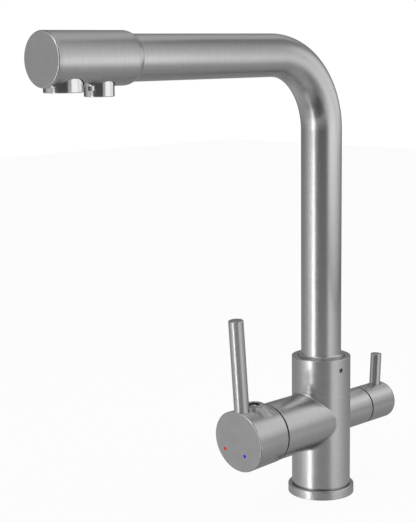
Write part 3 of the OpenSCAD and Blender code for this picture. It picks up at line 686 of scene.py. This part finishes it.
# %% Turn the foot of the spout
COLLAR_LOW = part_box("spout_foot")[0].z
COLLAR_TOP = 113.5 * MM
COLLAR_R = 18.4 * MM
HOLLOW_R = 2 * MM
HAIR = 0.1 * MM
hollow_arc = arc((TUBE_R + HOLLOW_R + HAIR, COLLAR_TOP + HOLLOW_R), HOLLOW_R, 270, 184, 10)
collar = lathe_piece([
    (TUBE_R - TUBE_WALL, COLLAR_LOW), (COLLAR_R, COLLAR_LOW, EDGE), (COLLAR_R, COLLAR_TOP, EDGE),
    *hollow_arc, (TUBE_R - EDGE, COLLAR_TOP + HOLLOW_R),
], "spout_collar")
finish_piece(collar, "spout", *BRUSHED, "spout_foot")

# %% [markdown]
# The head is a thicker sleeve with a rounded shoulder. Two round openings in its underside take the
# outlets, and a flat disc closes its end. The bright line round the disc comes from its small rounding.

# %% Turn and drill the head
HEAD_START = -HEAD_HIGH.y
DISC_BACK = -HEAD_LOW.y
SHOULDER_L = 6.2 * MM
SHOULDER_R = (SHOULDER_L ** 2 + (HEAD_R - TUBE_R) ** 2) / (2 * (HEAD_R - TUBE_R))
HEAD_BORE_R = TUBE_R + 0.6 * MM
HEAD_EDGE, DISC_REAR_EDGE, DISC_EDGE = 0.2 * MM, 0.15 * MM, 1.1 * MM
shoulder_turn = math.degrees(math.asin(SHOULDER_L / SHOULDER_R))
shoulder = arc((HEAD_R - SHOULDER_R, HEAD_START + SHOULDER_L), SHOULDER_R, -shoulder_turn, 0, 10)
head = lathe_piece([
    (TUBE_R, HEAD_START + HAIR), *shoulder, (HEAD_R, DISC_BACK, HEAD_EDGE), (HEAD_BORE_R, DISC_BACK),
    (HEAD_BORE_R, HEAD_START + 2 * SHOULDER_L), (TUBE_R, HEAD_START + 2 * SHOULDER_L),
], "head_sleeve", LEVEL)
COLLAR_GAP = 0.6 * MM
OUTLETS = ("outlet_collar", "filter_outlet_collar")
for name in OUTLETS:
    low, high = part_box(name)
    outlet_axis = Matrix.Translation((0, (low.y + high.y) / 2, 0))
    drill(head, high.x + COLLAR_GAP, low.z - MM, high.z, outlet_axis)
finish_piece(head, "spout", *BRUSHED, "head_shell")

END_FACE = -DISC_LOW.y
disc = lathe_piece([
    (0, DISC_BACK), (HEAD_R, DISC_BACK, DISC_REAR_EDGE), (HEAD_R, END_FACE, DISC_EDGE), (0, END_FACE),
], "head_face", LEVEL)
finish_piece(disc, "spout", *BRUSHED, "head_end_disc")
finish_or_painted_shade_part(disc, satin_nickel, LEVEL @ lift(END_FACE), in_plane)

# %% [markdown]
# The outlets are short polished collars. Each has a thick rounded lip, and its aerator sits a little
# inside.

# %% Turn the outlet collars
COLLAR_WALL = 1.7 * MM
LIP_ROUND = 0.6 * MM
for name in OUTLETS:
    low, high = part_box(name)
    inner = high.x - COLLAR_WALL
    collar = lathe_piece([
        (inner, low.z, LIP_ROUND / 2), (high.x, low.z, LIP_ROUND), (high.x, high.z), (inner, high.z),
    ], name + "_turned", Matrix.Translation((0, (low.y + high.y) / 2, 0)))
    # The collars take the polished nickel with its painted sheen.
    finish_piece(collar, "spout", polished_painted_sheen_nickel, "brushed_nickel", name)

# %% [markdown]
# The handle cap of the mixer is a slight cone. Its flat face leans back with the lever, so the cone is
# turned too long and cut with a plane. Its rear edge is hollowed by a ball, which lets it tilt close
# over the arm, and a notch below lets water drain away.

# %% Turn and cut the handle cap
CAP_REAR, CAP_FACE = 65.4 * MM, 97.2 * MM
CAP_REAR_R, CAP_FACE_R = 23 * MM, 24 * MM
CAP_LONG = CAP_FACE + 4 * MM
CAP_HOLLOW_R = 24.5 * MM
CAP_REAR_EDGE, CAP_FACE_ROUND = 0.15 * MM, 0.9 * MM
GROWTH = (CAP_FACE_R - CAP_REAR_R) / (CAP_FACE - CAP_REAR)
CAP_LONG_R = CAP_FACE_R + GROWTH * (CAP_LONG - CAP_FACE)
face_place = (Matrix.Translation((0, -CAP_FACE, PIVOT.z))
              @ Matrix.Rotation(math.pi / 2 + LEVER_LEAN, 4, "X"))
cap = turned([(0, CAP_REAR), (CAP_REAR_R, CAP_REAR, CAP_REAR_EDGE), (CAP_LONG_R, CAP_LONG), (0, CAP_LONG)])
bmesh.ops.transform(cap, matrix=FRONT, verts=cap.verts[:])
cut = bmesh.ops.bisect_plane(cap, geom=cap.verts[:] + cap.edges[:] + cap.faces[:], dist=SAME_POINT,
                             plane_co=face_place.translation, plane_no=face_place.to_3x3().col[2],
                             clear_outer=True)["geom_cut"]
rim = of_kind(bmesh.types.BMEdge, cut)
bmesh.ops.edgenet_fill(cap, edges=rim)
bmesh.ops.bevel(cap, geom=rim, offset=CAP_FACE_ROUND, offset_type="OFFSET", profile=0.5, segments=4,
                affect="EDGES", material=-1)
bmesh.ops.transform(cap, matrix=FRONT.inverted(), verts=cap.verts[:])
wrap(cap)
cap = piece_from(cap, "handle_cap", FRONT)
hollow = bmesh.new()
bmesh.ops.create_uvsphere(hollow, u_segments=AROUND, v_segments=80, radius=CAP_HOLLOW_R,
                          matrix=Matrix.Translation(PIVOT))
wrap(hollow)
combine(cap, piece_from(hollow, "hollow"))
NOTCH_R = 6.3 * MM
NOTCH_LONG = 7.5 * MM
NOTCH_AT = CAP_REAR + NOTCH_LONG - NOTCH_R
drill(cap, NOTCH_R, -PIVOT.z, PIVOT.z, Matrix.Translation((0, -NOTCH_AT, 0)))
print("handle cap cut; its solid is", round((CAP_HIGH.y - CAP_LOW.y) / MM, 1), "mm long")

# %% [markdown]
# Behind the lever the cap swells into a low mound with a recess in it, and a bright domed plug in the
# recess covers the fixing screw. The mound's sides slope gently, so it melts into the cap, and the
# recess's wall and floor are painted near-black as painted shade. The lever stands in a hole of its own,
# and the two coloured dots lie in shallow holes in the face. The cap and the long lever are hidden from
# the other pieces' reflections: they would break the bright line on the upright body.

# %% Add the mound, the holes and what fills them
SCREW_BACK, LEVER_BACK = 19.5 * MM, 6.3 * MM
STAND_UP = Matrix.Rotation(-math.pi / 2, 4, "X")
screw_axis = face_place @ lift(-SCREW_BACK) @ STAND_UP
lever_axis = face_place @ lift(-LEVER_BACK) @ STAND_UP
MOUND_TOP = 24.8 * MM
MOUND_LOW = 17 * MM
MOUND_R, MOUND_FOOT_R, MOUND_ROUND = 7.4 * MM, 15.6 * MM, 1.5 * MM
mound = lathe_piece([
    (0, MOUND_LOW), (MOUND_FOOT_R, MOUND_LOW), (MOUND_R, MOUND_TOP, MOUND_ROUND), (0, MOUND_TOP),
], "mound", screw_axis)
combine(cap, mound, "UNION")
COVER_HOLE_R, RECESS, RIM_SINK = 4.6 * MM, 3.3 * MM, 0.4 * MM
RECESS_AROUND = 120
recess = lathe_piece([
    (0, MOUND_TOP - RECESS), (COVER_HOLE_R, MOUND_TOP - RECESS), (COVER_HOLE_R, MOUND_TOP - RIM_SINK),
    (COVER_HOLE_R + RIM_SINK, MOUND_TOP), (COVER_HOLE_R + 2 * RIM_SINK, MOUND_TOP + RIM_SINK),
    (0, MOUND_TOP + RIM_SINK),
], "recess", screw_axis, RECESS_AROUND)
combine(cap, recess)
LEVER_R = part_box("mixer_lever")[1].x
LEVER_FLOOR = 17 * MM
LEVER_GAP = 0.45 * MM
drill(cap, LEVER_R + LEVER_GAP, LEVER_FLOOR, 2 * CAP_FACE_R, lever_axis)
DOT_R, DOT_DEEP, DOT_PROUD = 1.45 * MM, 0.5 * MM, 0.15 * MM
HOT_PLACE, COLD_PLACE = (-14.4 * MM, -8.2 * MM, 0), (6 * MM, -10.2 * MM, 0)
dot_axes = {"hot_dot": face_place @ Matrix.Translation(HOT_PLACE),
            "cold_dot": face_place @ Matrix.Translation(COLD_PLACE)}
for name, axis in dot_axes.items():
    drill(cap, DOT_R, -DOT_DEEP, DOT_DEEP, axis)
finish_piece(cap, "mixer_handle", *BRUSHED, "mixer_cap")


def in_recess(co):
    """True for a point on the wall or the floor of the recess, seen from the screw's axis; these take painted
    shade.
    """
    return math.hypot(co.x, co.y) < COVER_HOLE_R + FLAT and 0 < co.z < MOUND_TOP - RIM_SINK + FLAT


def domed_disc(radius, low, top, dome, steps, around):
    """A disc whose foot is flat and whose top rises as a part of a ball."""
    ball_r = (radius ** 2 + dome ** 2) / (2 * dome)
    edge = math.degrees(math.acos(radius / ball_r))
    return turned([(0, low), (radius, low), *arc((0, top - ball_r), ball_r, edge, 90, steps)], around)


finish_or_painted_shade_part(cap, satin_nickel, face_place, in_plane)
# The recess is painted near-black as painted shade.
finish_or_painted_shade_part(cap, painted_shade_nickel, screw_axis, in_recess)
cap.visible_glossy = False
for name, axis in dot_axes.items():
    dot = piece_from(domed_disc(DOT_R, -DOT_DEEP, DOT_PROUD, DOT_PROUD, 6, 48), name + "_domed", axis)
    finish_piece(dot, "mixer_handle", finishes[slot_of[name]], slot_of[name], name)

PLUG_R, PLUG_LOW, PLUG_TALL, PLUG_DOME = 3.9 * MM, MOUND_TOP - RECESS, 2.6 * MM, 2.4 * MM
plug = domed_disc(PLUG_R, PLUG_LOW, PLUG_LOW + PLUG_TALL, PLUG_DOME, 14, 96)
finish_piece(piece_from(plug, "screw_cover_domed", screw_axis), "mixer_handle", finishes["bright_chrome"],
             "bright_chrome", "screw_cover")

# %% [markdown]
# Both levers are plain rods with a rounded top. Their lower ends go into the caps.

# %% Turn the levers
LEVER_TALL = 94.4 * MM
LEVER_TOP = (LEVER_TALL - LEVER_BACK * math.sin(LEVER_LEAN)) / math.cos(LEVER_LEAN)
LEVER_ROUND, FILTER_LEVER_ROUND = 0.9 * MM, 0.8 * MM
lever = lathe_piece([
    (0, LEVER_FLOOR), (LEVER_R, LEVER_FLOOR), (LEVER_R, LEVER_TOP, LEVER_ROUND), (0, LEVER_TOP),
], "mixer_lever_rod", lever_axis)
finish_piece(lever, "mixer_handle", *BRUSHED, "mixer_lever")
lever.visible_glossy = False

FILTER_CAP_END = FILTER_CAP_HIGH.y
FILTER_LEVER_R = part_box("filter_lever")[1].x
FILTER_LEVER_BACK = 11 * MM
filter_lever_axis = (Matrix.Translation((0, FILTER_CAP_END - FILTER_LEVER_BACK, FILTER_PIVOT.z))
                     @ Matrix.Rotation(-FILTER_LEAN, 4, "X"))
FILTER_LEVER_FLOOR, FILTER_LEVER_TOP = 9.5 * MM, 40.8 * MM
lever = lathe_piece([
    (0, FILTER_LEVER_FLOOR), (FILTER_LEVER_R, FILTER_LEVER_FLOOR),
    (FILTER_LEVER_R, FILTER_LEVER_TOP, FILTER_LEVER_ROUND), (0, FILTER_LEVER_TOP),
], "filter_lever_rod", filter_lever_axis)
finish_piece(lever, "filter_handle", *BRUSHED, "filter_lever")

# %% [markdown]
# The small cap of the filter valve has the same radius as its arm and a rounded outer edge.

# %% Turn the filter cap
FILTER_CAP_START = FILTER_CAP_LOW.y
FILTER_CAVITY_R, FILTER_CAVITY_END = 12.4 * MM, FILTER_ARM_END + 3.3 * MM
FILTER_CAP_ROUND = 3 * MM
cap = lathe_piece([
    (0, FILTER_CAVITY_END), (FILTER_CAVITY_R, FILTER_CAVITY_END), (FILTER_CAVITY_R, FILTER_CAP_START, RIM),
    (FILTER_R, FILTER_CAP_START, ARM_EDGE), (FILTER_R, FILTER_CAP_END, FILTER_CAP_ROUND),
    (0, FILTER_CAP_END),
], "filter_cap_turned", BACK)
drill(cap, FILTER_LEVER_R + LEVER_GAP, FILTER_LEVER_FLOOR, 2 * FILTER_R, filter_lever_axis)
finish_piece(cap, "filter_handle", *BRUSHED, "filter_cap")

# %% [markdown]
# The camera stands where the photographer stood, about a metre away and as high as the spout, with a long
# lens. Its place, heading, pitch and slight roll were worked out from the photograph's own lines.

# %% Place the camera
CAMERA_PLACE = (0.6647, -0.7892, 0.3567)
HEADING, PITCH, ROLL = (math.radians(v) for v in (45.104, 9.181, -0.711))
LENS, SENSOR_WIDE = 90.43, 36
TAP_MIDDLE = Vector((0, 0, 0.18))
camera_data = bpy.data.cameras.new("camera")
camera_data.lens = LENS
camera_data.sensor_width = SENSOR_WIDE
camera = bpy.data.objects.new("camera", camera_data)
bpy.context.scene.collection.objects.link(camera)
turn = (Matrix.Rotation(HEADING, 4, "Z") @ Matrix.Rotation(math.pi / 2 - PITCH, 4, "X")
        @ Matrix.Rotation(ROLL, 4, "Z"))
camera.matrix_world = Matrix.Translation(CAMERA_PLACE) @ turn
bpy.context.scene.camera = camera
print("camera", round((camera.location - TAP_MIDDLE).length, 2), "m from the tap")

# %% [markdown]
# Metal shows the room and not the lamps' light on it, so the room matters most. The studio is painted
# on the world in seven parts. Each part is one list of tones round the tap times one list of tones over
# the height:
# - RING is the room: bright to both sides, dark round the photographer, and grey behind.
# - STRIP is a narrow lamp at the left, which draws the bright line on the upright pieces.
# - LIGHT_ABOVE is a lamp high up, which draws the bright edge round the flat faces.
# - FACE_PANEL is a weak panel at eye level, seen by the head's flat face.
# - BACK_WALL is a pale wall behind, seen by the upper sides of the level pieces.
# - TABLE_RING and FLOOR_TONE are the worktop and the floor, seen by their lower sides.
# The tones lie on Float Curves over the direction. Camera rays see plain white instead.

# %% Paint the studio round the tap
STUDIO_TURN = math.radians(-45)
RING = [  # angle to the right of the camera, in degrees, and brightness there
    (-180, 0.24), (-150, 0.27), (-117, 0.29), (-97, 0.4), (-90, 0.46), (-84, 0.58), (-72, 0.82),
    (-62, 0.96), (-54, 1.0), (-44, 0.4), (-37, 0.24), (-26, 0.17), (32, 0.14), (36, 0.95), (60, 0.86),
    (85, 0.52), (105, 0.33), (140, 0.2), (165, 0.22), (180, 0.24),
]
HEIGHT_TONES = [(-90, 0.1), (-45, 0.16), (-30, 0.36), (-17, 0.68), (-11, 0.9), (-7, 1.0), (-3.2, 1.0),
                (-2.5, 0.42), (0.2, 0.42), (1, 1.0), (20, 1.0), (60, 0.85), (90, 0.8)]
STRIP = [(-180, 0), (-52.5, 0), (-51, 7), (-47, 7), (-45.5, 0), (180, 0)]
STRIP_HEIGHTS = [(-90, 0.13), (-50, 0.25), (-40, 0.5), (-22, 0.8), (-16, 0.8), (-14.5, 0.9), (-11.5, 0.9),
                 (-9.5, 0.75), (-3.2, 0.68), (-2.5, 0.1), (0.2, 0.1), (1, 0.65), (32, 0.65), (50, 0.0),
                 (90, 0.0)]
LIGHT_ABOVE = [(-180, 0), (-62, 0), (-50, 3.0), (-18, 3.0), (-8, 0), (180, 0)]
ABOVE_HEIGHTS = [(-90, 0), (40, 0), (46, 1.0), (58, 1.0), (62, 0), (90, 0)]
FACE_PANEL = [(-180, 0), (-115, 0), (-105, 0.26), (-76, 0.26), (-68, 0), (180, 0)]
PANEL_HEIGHTS = [(-90, 0), (-3.4, 0), (-2.5, 1.0), (0.2, 1.0), (1, 0), (90, 0)]
BACK_WALL = [(-180, 0.05), (-165, 0), (100, 0), (125, 0.38), (150, 0.42), (168, 0.3), (180, 0.05)]
WALL_HEIGHTS = [(-90, 0), (16, 0), (30, 0.7), (38, 1.0), (60, 1.0), (78, 0.5), (90, 0.4)]
TABLE_RING = [(-180, 0.8), (-150, 1.7), (-125, 1.5), (-80, 1), (-45, 0.1), (60, 0.1), (92, 1), (180, 0.8)]
TABLE_HEIGHTS = [(-90, 0), (-64, 0), (-50, 0.22), (-36, 0.26), (-27, 0.2), (-22, 0), (90, 0)]
FLOOR_TONE = [(-180, 1), (180, 1)]
FLOOR_HEIGHTS = [(-90, 0.34), (-62, 0.32), (-50, 0.12), (-44, 0.03), (-27, 0.03), (-22, 0.22), (-17, 0.22),
                 (-13.5, 0.13), (-9, 0.04), (-5, 0), (90, 0)]
TOP_TONE = 7.0


def straight_curve(tree, share, points):
    """A Float Curve of straight stretches through points that run from 0 to 1."""
    curve = tree.nodes.new("ShaderNodeFloatCurve")
    line = curve.mapping.curves[0]
    while len(line.points) < len(points):
        line.points.new(0.5, 0.5)
    for point, place in zip(line.points, points):
        point.location = place
        point.handle_type = "VECTOR"
    curve.mapping.update()
    tree.links.new(share, curve.inputs["Value"])
    return curve.outputs[0]


def tone_curve(tree, value, low, high, tones, top):
    """The tone at an angle in radians, from (angle, tone) pairs in degrees."""
    share = add_node(tree, "ShaderNodeMapRange", From_Min=math.radians(low), From_Max=math.radians(high))
    tree.links.new(value, share.inputs["Value"])
    points = [((angle - low) / (high - low), tone / top) for angle, tone in tones]
    return calculate(tree, "MULTIPLY", straight_curve(tree, share.outputs[0], points), top)


world = bpy.data.worlds.new("studio")
bpy.context.scene.world = world
world.use_nodes = True
tree = world.node_tree
tree.nodes.clear()
direction = tree.nodes.new("ShaderNodeTexCoord")
split = tree.nodes.new("ShaderNodeSeparateXYZ")
from_camera = add_node(tree, "ShaderNodeVectorRotate", rotation_type="Z_AXIS")
from_camera.inputs["Angle"].default_value = STUDIO_TURN
tree.links.new(direction.outputs["Generated"], from_camera.inputs["Vector"])
tree.links.new(from_camera.outputs[0], split.inputs[0])
backwards = calculate(tree, "MULTIPLY", split.outputs["Y"], -1.0)
azimuth = calculate(tree, "ARCTAN2", split.outputs["X"], backwards)
height = calculate(tree, "ARCSINE", split.outputs["Z"])
tone = 0.0
for around, upward in ((RING, HEIGHT_TONES), (STRIP, STRIP_HEIGHTS), (LIGHT_ABOVE, ABOVE_HEIGHTS),
                       (FACE_PANEL, PANEL_HEIGHTS), (BACK_WALL, WALL_HEIGHTS), (TABLE_RING, TABLE_HEIGHTS),
                       (FLOOR_TONE, FLOOR_HEIGHTS)):
    part = calculate(tree, "MULTIPLY", tone_curve(tree, azimuth, -180, 180, around, TOP_TONE),
                     tone_curve(tree, height, -90, 90, upward, 1.0))
    tone = calculate(tree, "ADD", tone, part)
light_path = tree.nodes.new("ShaderNodeLightPath")
white = add_node(tree, "ShaderNodeMix", data_type="FLOAT")
tree.links.new(light_path.outputs["Is Camera Ray"], white.inputs[0])
tree.links.new(tone, white.inputs[2])
white.inputs[3].default_value = 1.0
background = add_node(tree, "ShaderNodeBackground", Color=(1, 1, 1, 1))
output = tree.nodes.new("ShaderNodeOutputWorld")
tree.links.new(white.outputs[0], background.inputs["Strength"])
tree.links.new(background.outputs[0], output.inputs["Surface"])
print("studio painted, with a ring of", len(RING), "tones")

# %% [markdown]
# One card is a real panel at a real distance. It stands to the right of the tap along the line of sight,
# a little above the worktop, so the high spout sees its lower edge below itself and the low handle sees
# it above, which is why their highlights sit at different heights. It glows most near its foot and
# fades towards its far end, where a soft patch lights the two arms. It is hidden from the camera, as
# every lamp here is.

# %% Stand the glowing card beside the tap
CARD_PLACE = (0.378, 0.302)
CARD_LOW, CARD_HIGH, CARD_WIDE = 0.05, 1.25, 1.2
CARD_TURN = math.radians(-45)
CARD_REACH = 0.354 * CARD_WIDE  # how far the turned card reaches along X to either side
CARD_GLOW = [  # share of the card's height, and brightness there
    (0.0, 0.5), (0.025, 0.64), (0.06, 0.82), (0.1, 0.98), (0.17, 1.17), (0.22, 1.08), (0.33, 0.84),
    (0.46, 0.68), (0.67, 0.6), (1.0, 0.5),
]
CARD_FADE = [  # share of the card's width, from its near end, and brightness there
    (0.0, 1.0), (0.4, 1.0), (0.43, 0.93), (0.47, 0.85), (0.53, 0.79), (0.58, 0.7), (0.66, 0.55),
    (0.83, 0.36), (1.0, 0.28),
]
CORNER_GLOW = [(0.0, 0.0), (0.15, 0.0), (0.23, 0.5), (0.4, 0.5), (0.55, 0.0), (1.0, 0.0)]
CORNER_FADE = [(0.0, 0.0), (0.55, 0.0), (0.66, 1.0), (0.9, 1.0), (1.0, 0.7)]
card_mesh = bmesh.new()
bmesh.ops.create_grid(card_mesh, x_segments=1, y_segments=1, size=0.5)
bmesh.ops.scale(card_mesh, vec=(CARD_WIDE, CARD_HIGH - CARD_LOW, 1), verts=card_mesh.verts[:])
card_axis = (Matrix.Translation((*CARD_PLACE, (CARD_LOW + CARD_HIGH) / 2))
             @ Matrix.Rotation(CARD_TURN, 4, "Z") @ LAY_FORWARD)
card = piece_from(card_mesh, "light_card", card_axis)
material = bpy.data.materials.new("card glow")
material.use_nodes = True
tree = material.node_tree
tree.nodes.remove(tree.nodes["Principled BSDF"])
place = tree.nodes.new("ShaderNodeTexCoord")
split = tree.nodes.new("ShaderNodeSeparateXYZ")
tree.links.new(place.outputs["Object"], split.inputs[0])
share = add_node(tree, "ShaderNodeMapRange", From_Min=CARD_LOW, From_Max=CARD_HIGH)
tree.links.new(split.outputs["Z"], share.inputs["Value"])
sideways = add_node(tree, "ShaderNodeMapRange", From_Min=CARD_PLACE[0] + CARD_REACH,
                    From_Max=CARD_PLACE[0] - CARD_REACH)
tree.links.new(split.outputs["X"], sideways.inputs["Value"])
tone = 0.0
for upward, across in ((CARD_GLOW, CARD_FADE), (CORNER_GLOW, CORNER_FADE)):
    part = calculate(tree, "MULTIPLY", straight_curve(tree, share.outputs[0], upward),
                     straight_curve(tree, sideways.outputs[0], across))
    tone = calculate(tree, "ADD", tone, part)
glow = tree.nodes.new("ShaderNodeEmission")
tree.links.new(tone, glow.inputs["Strength"])
tree.links.new(glow.outputs[0], tree.nodes["Material Output"].inputs["Surface"])
card.data.materials.append(material)
card.visible_camera = False
card.visible_shadow = False
print("card placed", round(Vector(CARD_PLACE).length, 2), "m away")

# %% [markdown]
# A large soft lamp overhead gives the floor its light and the shadow under the tap.

# %% Hang the overhead lamp
LAMP_PLACE, LAMP_AIM = Vector((0.1, -0.2, 1.6)), Vector((0, 0, 0.2))
LAMP_SIZE = 1.2
LAMP_POWER = 6.0
lamp_data = bpy.data.lights.new("overhead lamp", "AREA")
lamp_data.size = LAMP_SIZE
lamp_data.energy = LAMP_POWER
lamp = bpy.data.objects.new("overhead lamp", lamp_data)
bpy.context.scene.collection.objects.link(lamp)
looking = (LAMP_AIM - LAMP_PLACE).to_track_quat("-Z", "Y").to_matrix().to_4x4()
lamp.matrix_world = Matrix.Translation(LAMP_PLACE) @ looking
lamp.visible_camera = False
lamp.visible_glossy = False
print("lamp placed", round(LAMP_PLACE.z, 2), "m up")

# %% [markdown]
# The floor is a plain pale sheet. Camera rays see it almost white, with a soft shadow left in it. From
# below it is clear, so that the underside of the tap can be looked at.

# %% Lay the floor
FLOOR_HALF = 3.0
SHOWN_WHITE = 0.94
floor_mesh = bmesh.new()
bmesh.ops.create_grid(floor_mesh, x_segments=1, y_segments=1, size=FLOOR_HALF)
floor = piece_from(floor_mesh, "floor")


def mix_shaders(tree, share, first, second):
    """Mixes two shaders, with a share of the second."""
    mix = tree.nodes.new("ShaderNodeMixShader")
    for socket, source in zip(mix.inputs, (share, first, second)):
        tree.links.new(source, socket)
    return mix.outputs[0]


material, tree, shader = new_material("pale floor", (0.85, 0.85, 0.85), 0.7)
light_path = tree.nodes.new("ShaderNodeLightPath")
glow = tree.nodes.new("ShaderNodeEmission")
side = tree.nodes.new("ShaderNodeNewGeometry")
clear = tree.nodes.new("ShaderNodeBsdfTransparent")
share = calculate(tree, "MULTIPLY", light_path.outputs["Is Camera Ray"], SHOWN_WHITE)
from_above = mix_shaders(tree, share, shader.outputs[0], glow.outputs[0])
surface = mix_shaders(tree, side.outputs["Backfacing"], from_above, clear.outputs[0])
tree.links.new(surface, tree.nodes["Material Output"].inputs["Surface"])
floor.data.materials.append(material)
floor.visible_glossy = False
floor.visible_shadow = False
print("floor laid,", 2 * FLOOR_HALF, "m wide")

# %% [markdown]
# The colours are shown as they are, with the Standard view.

# %% Show the colours as they are
bpy.context.scene.view_settings.view_transform = "Standard"
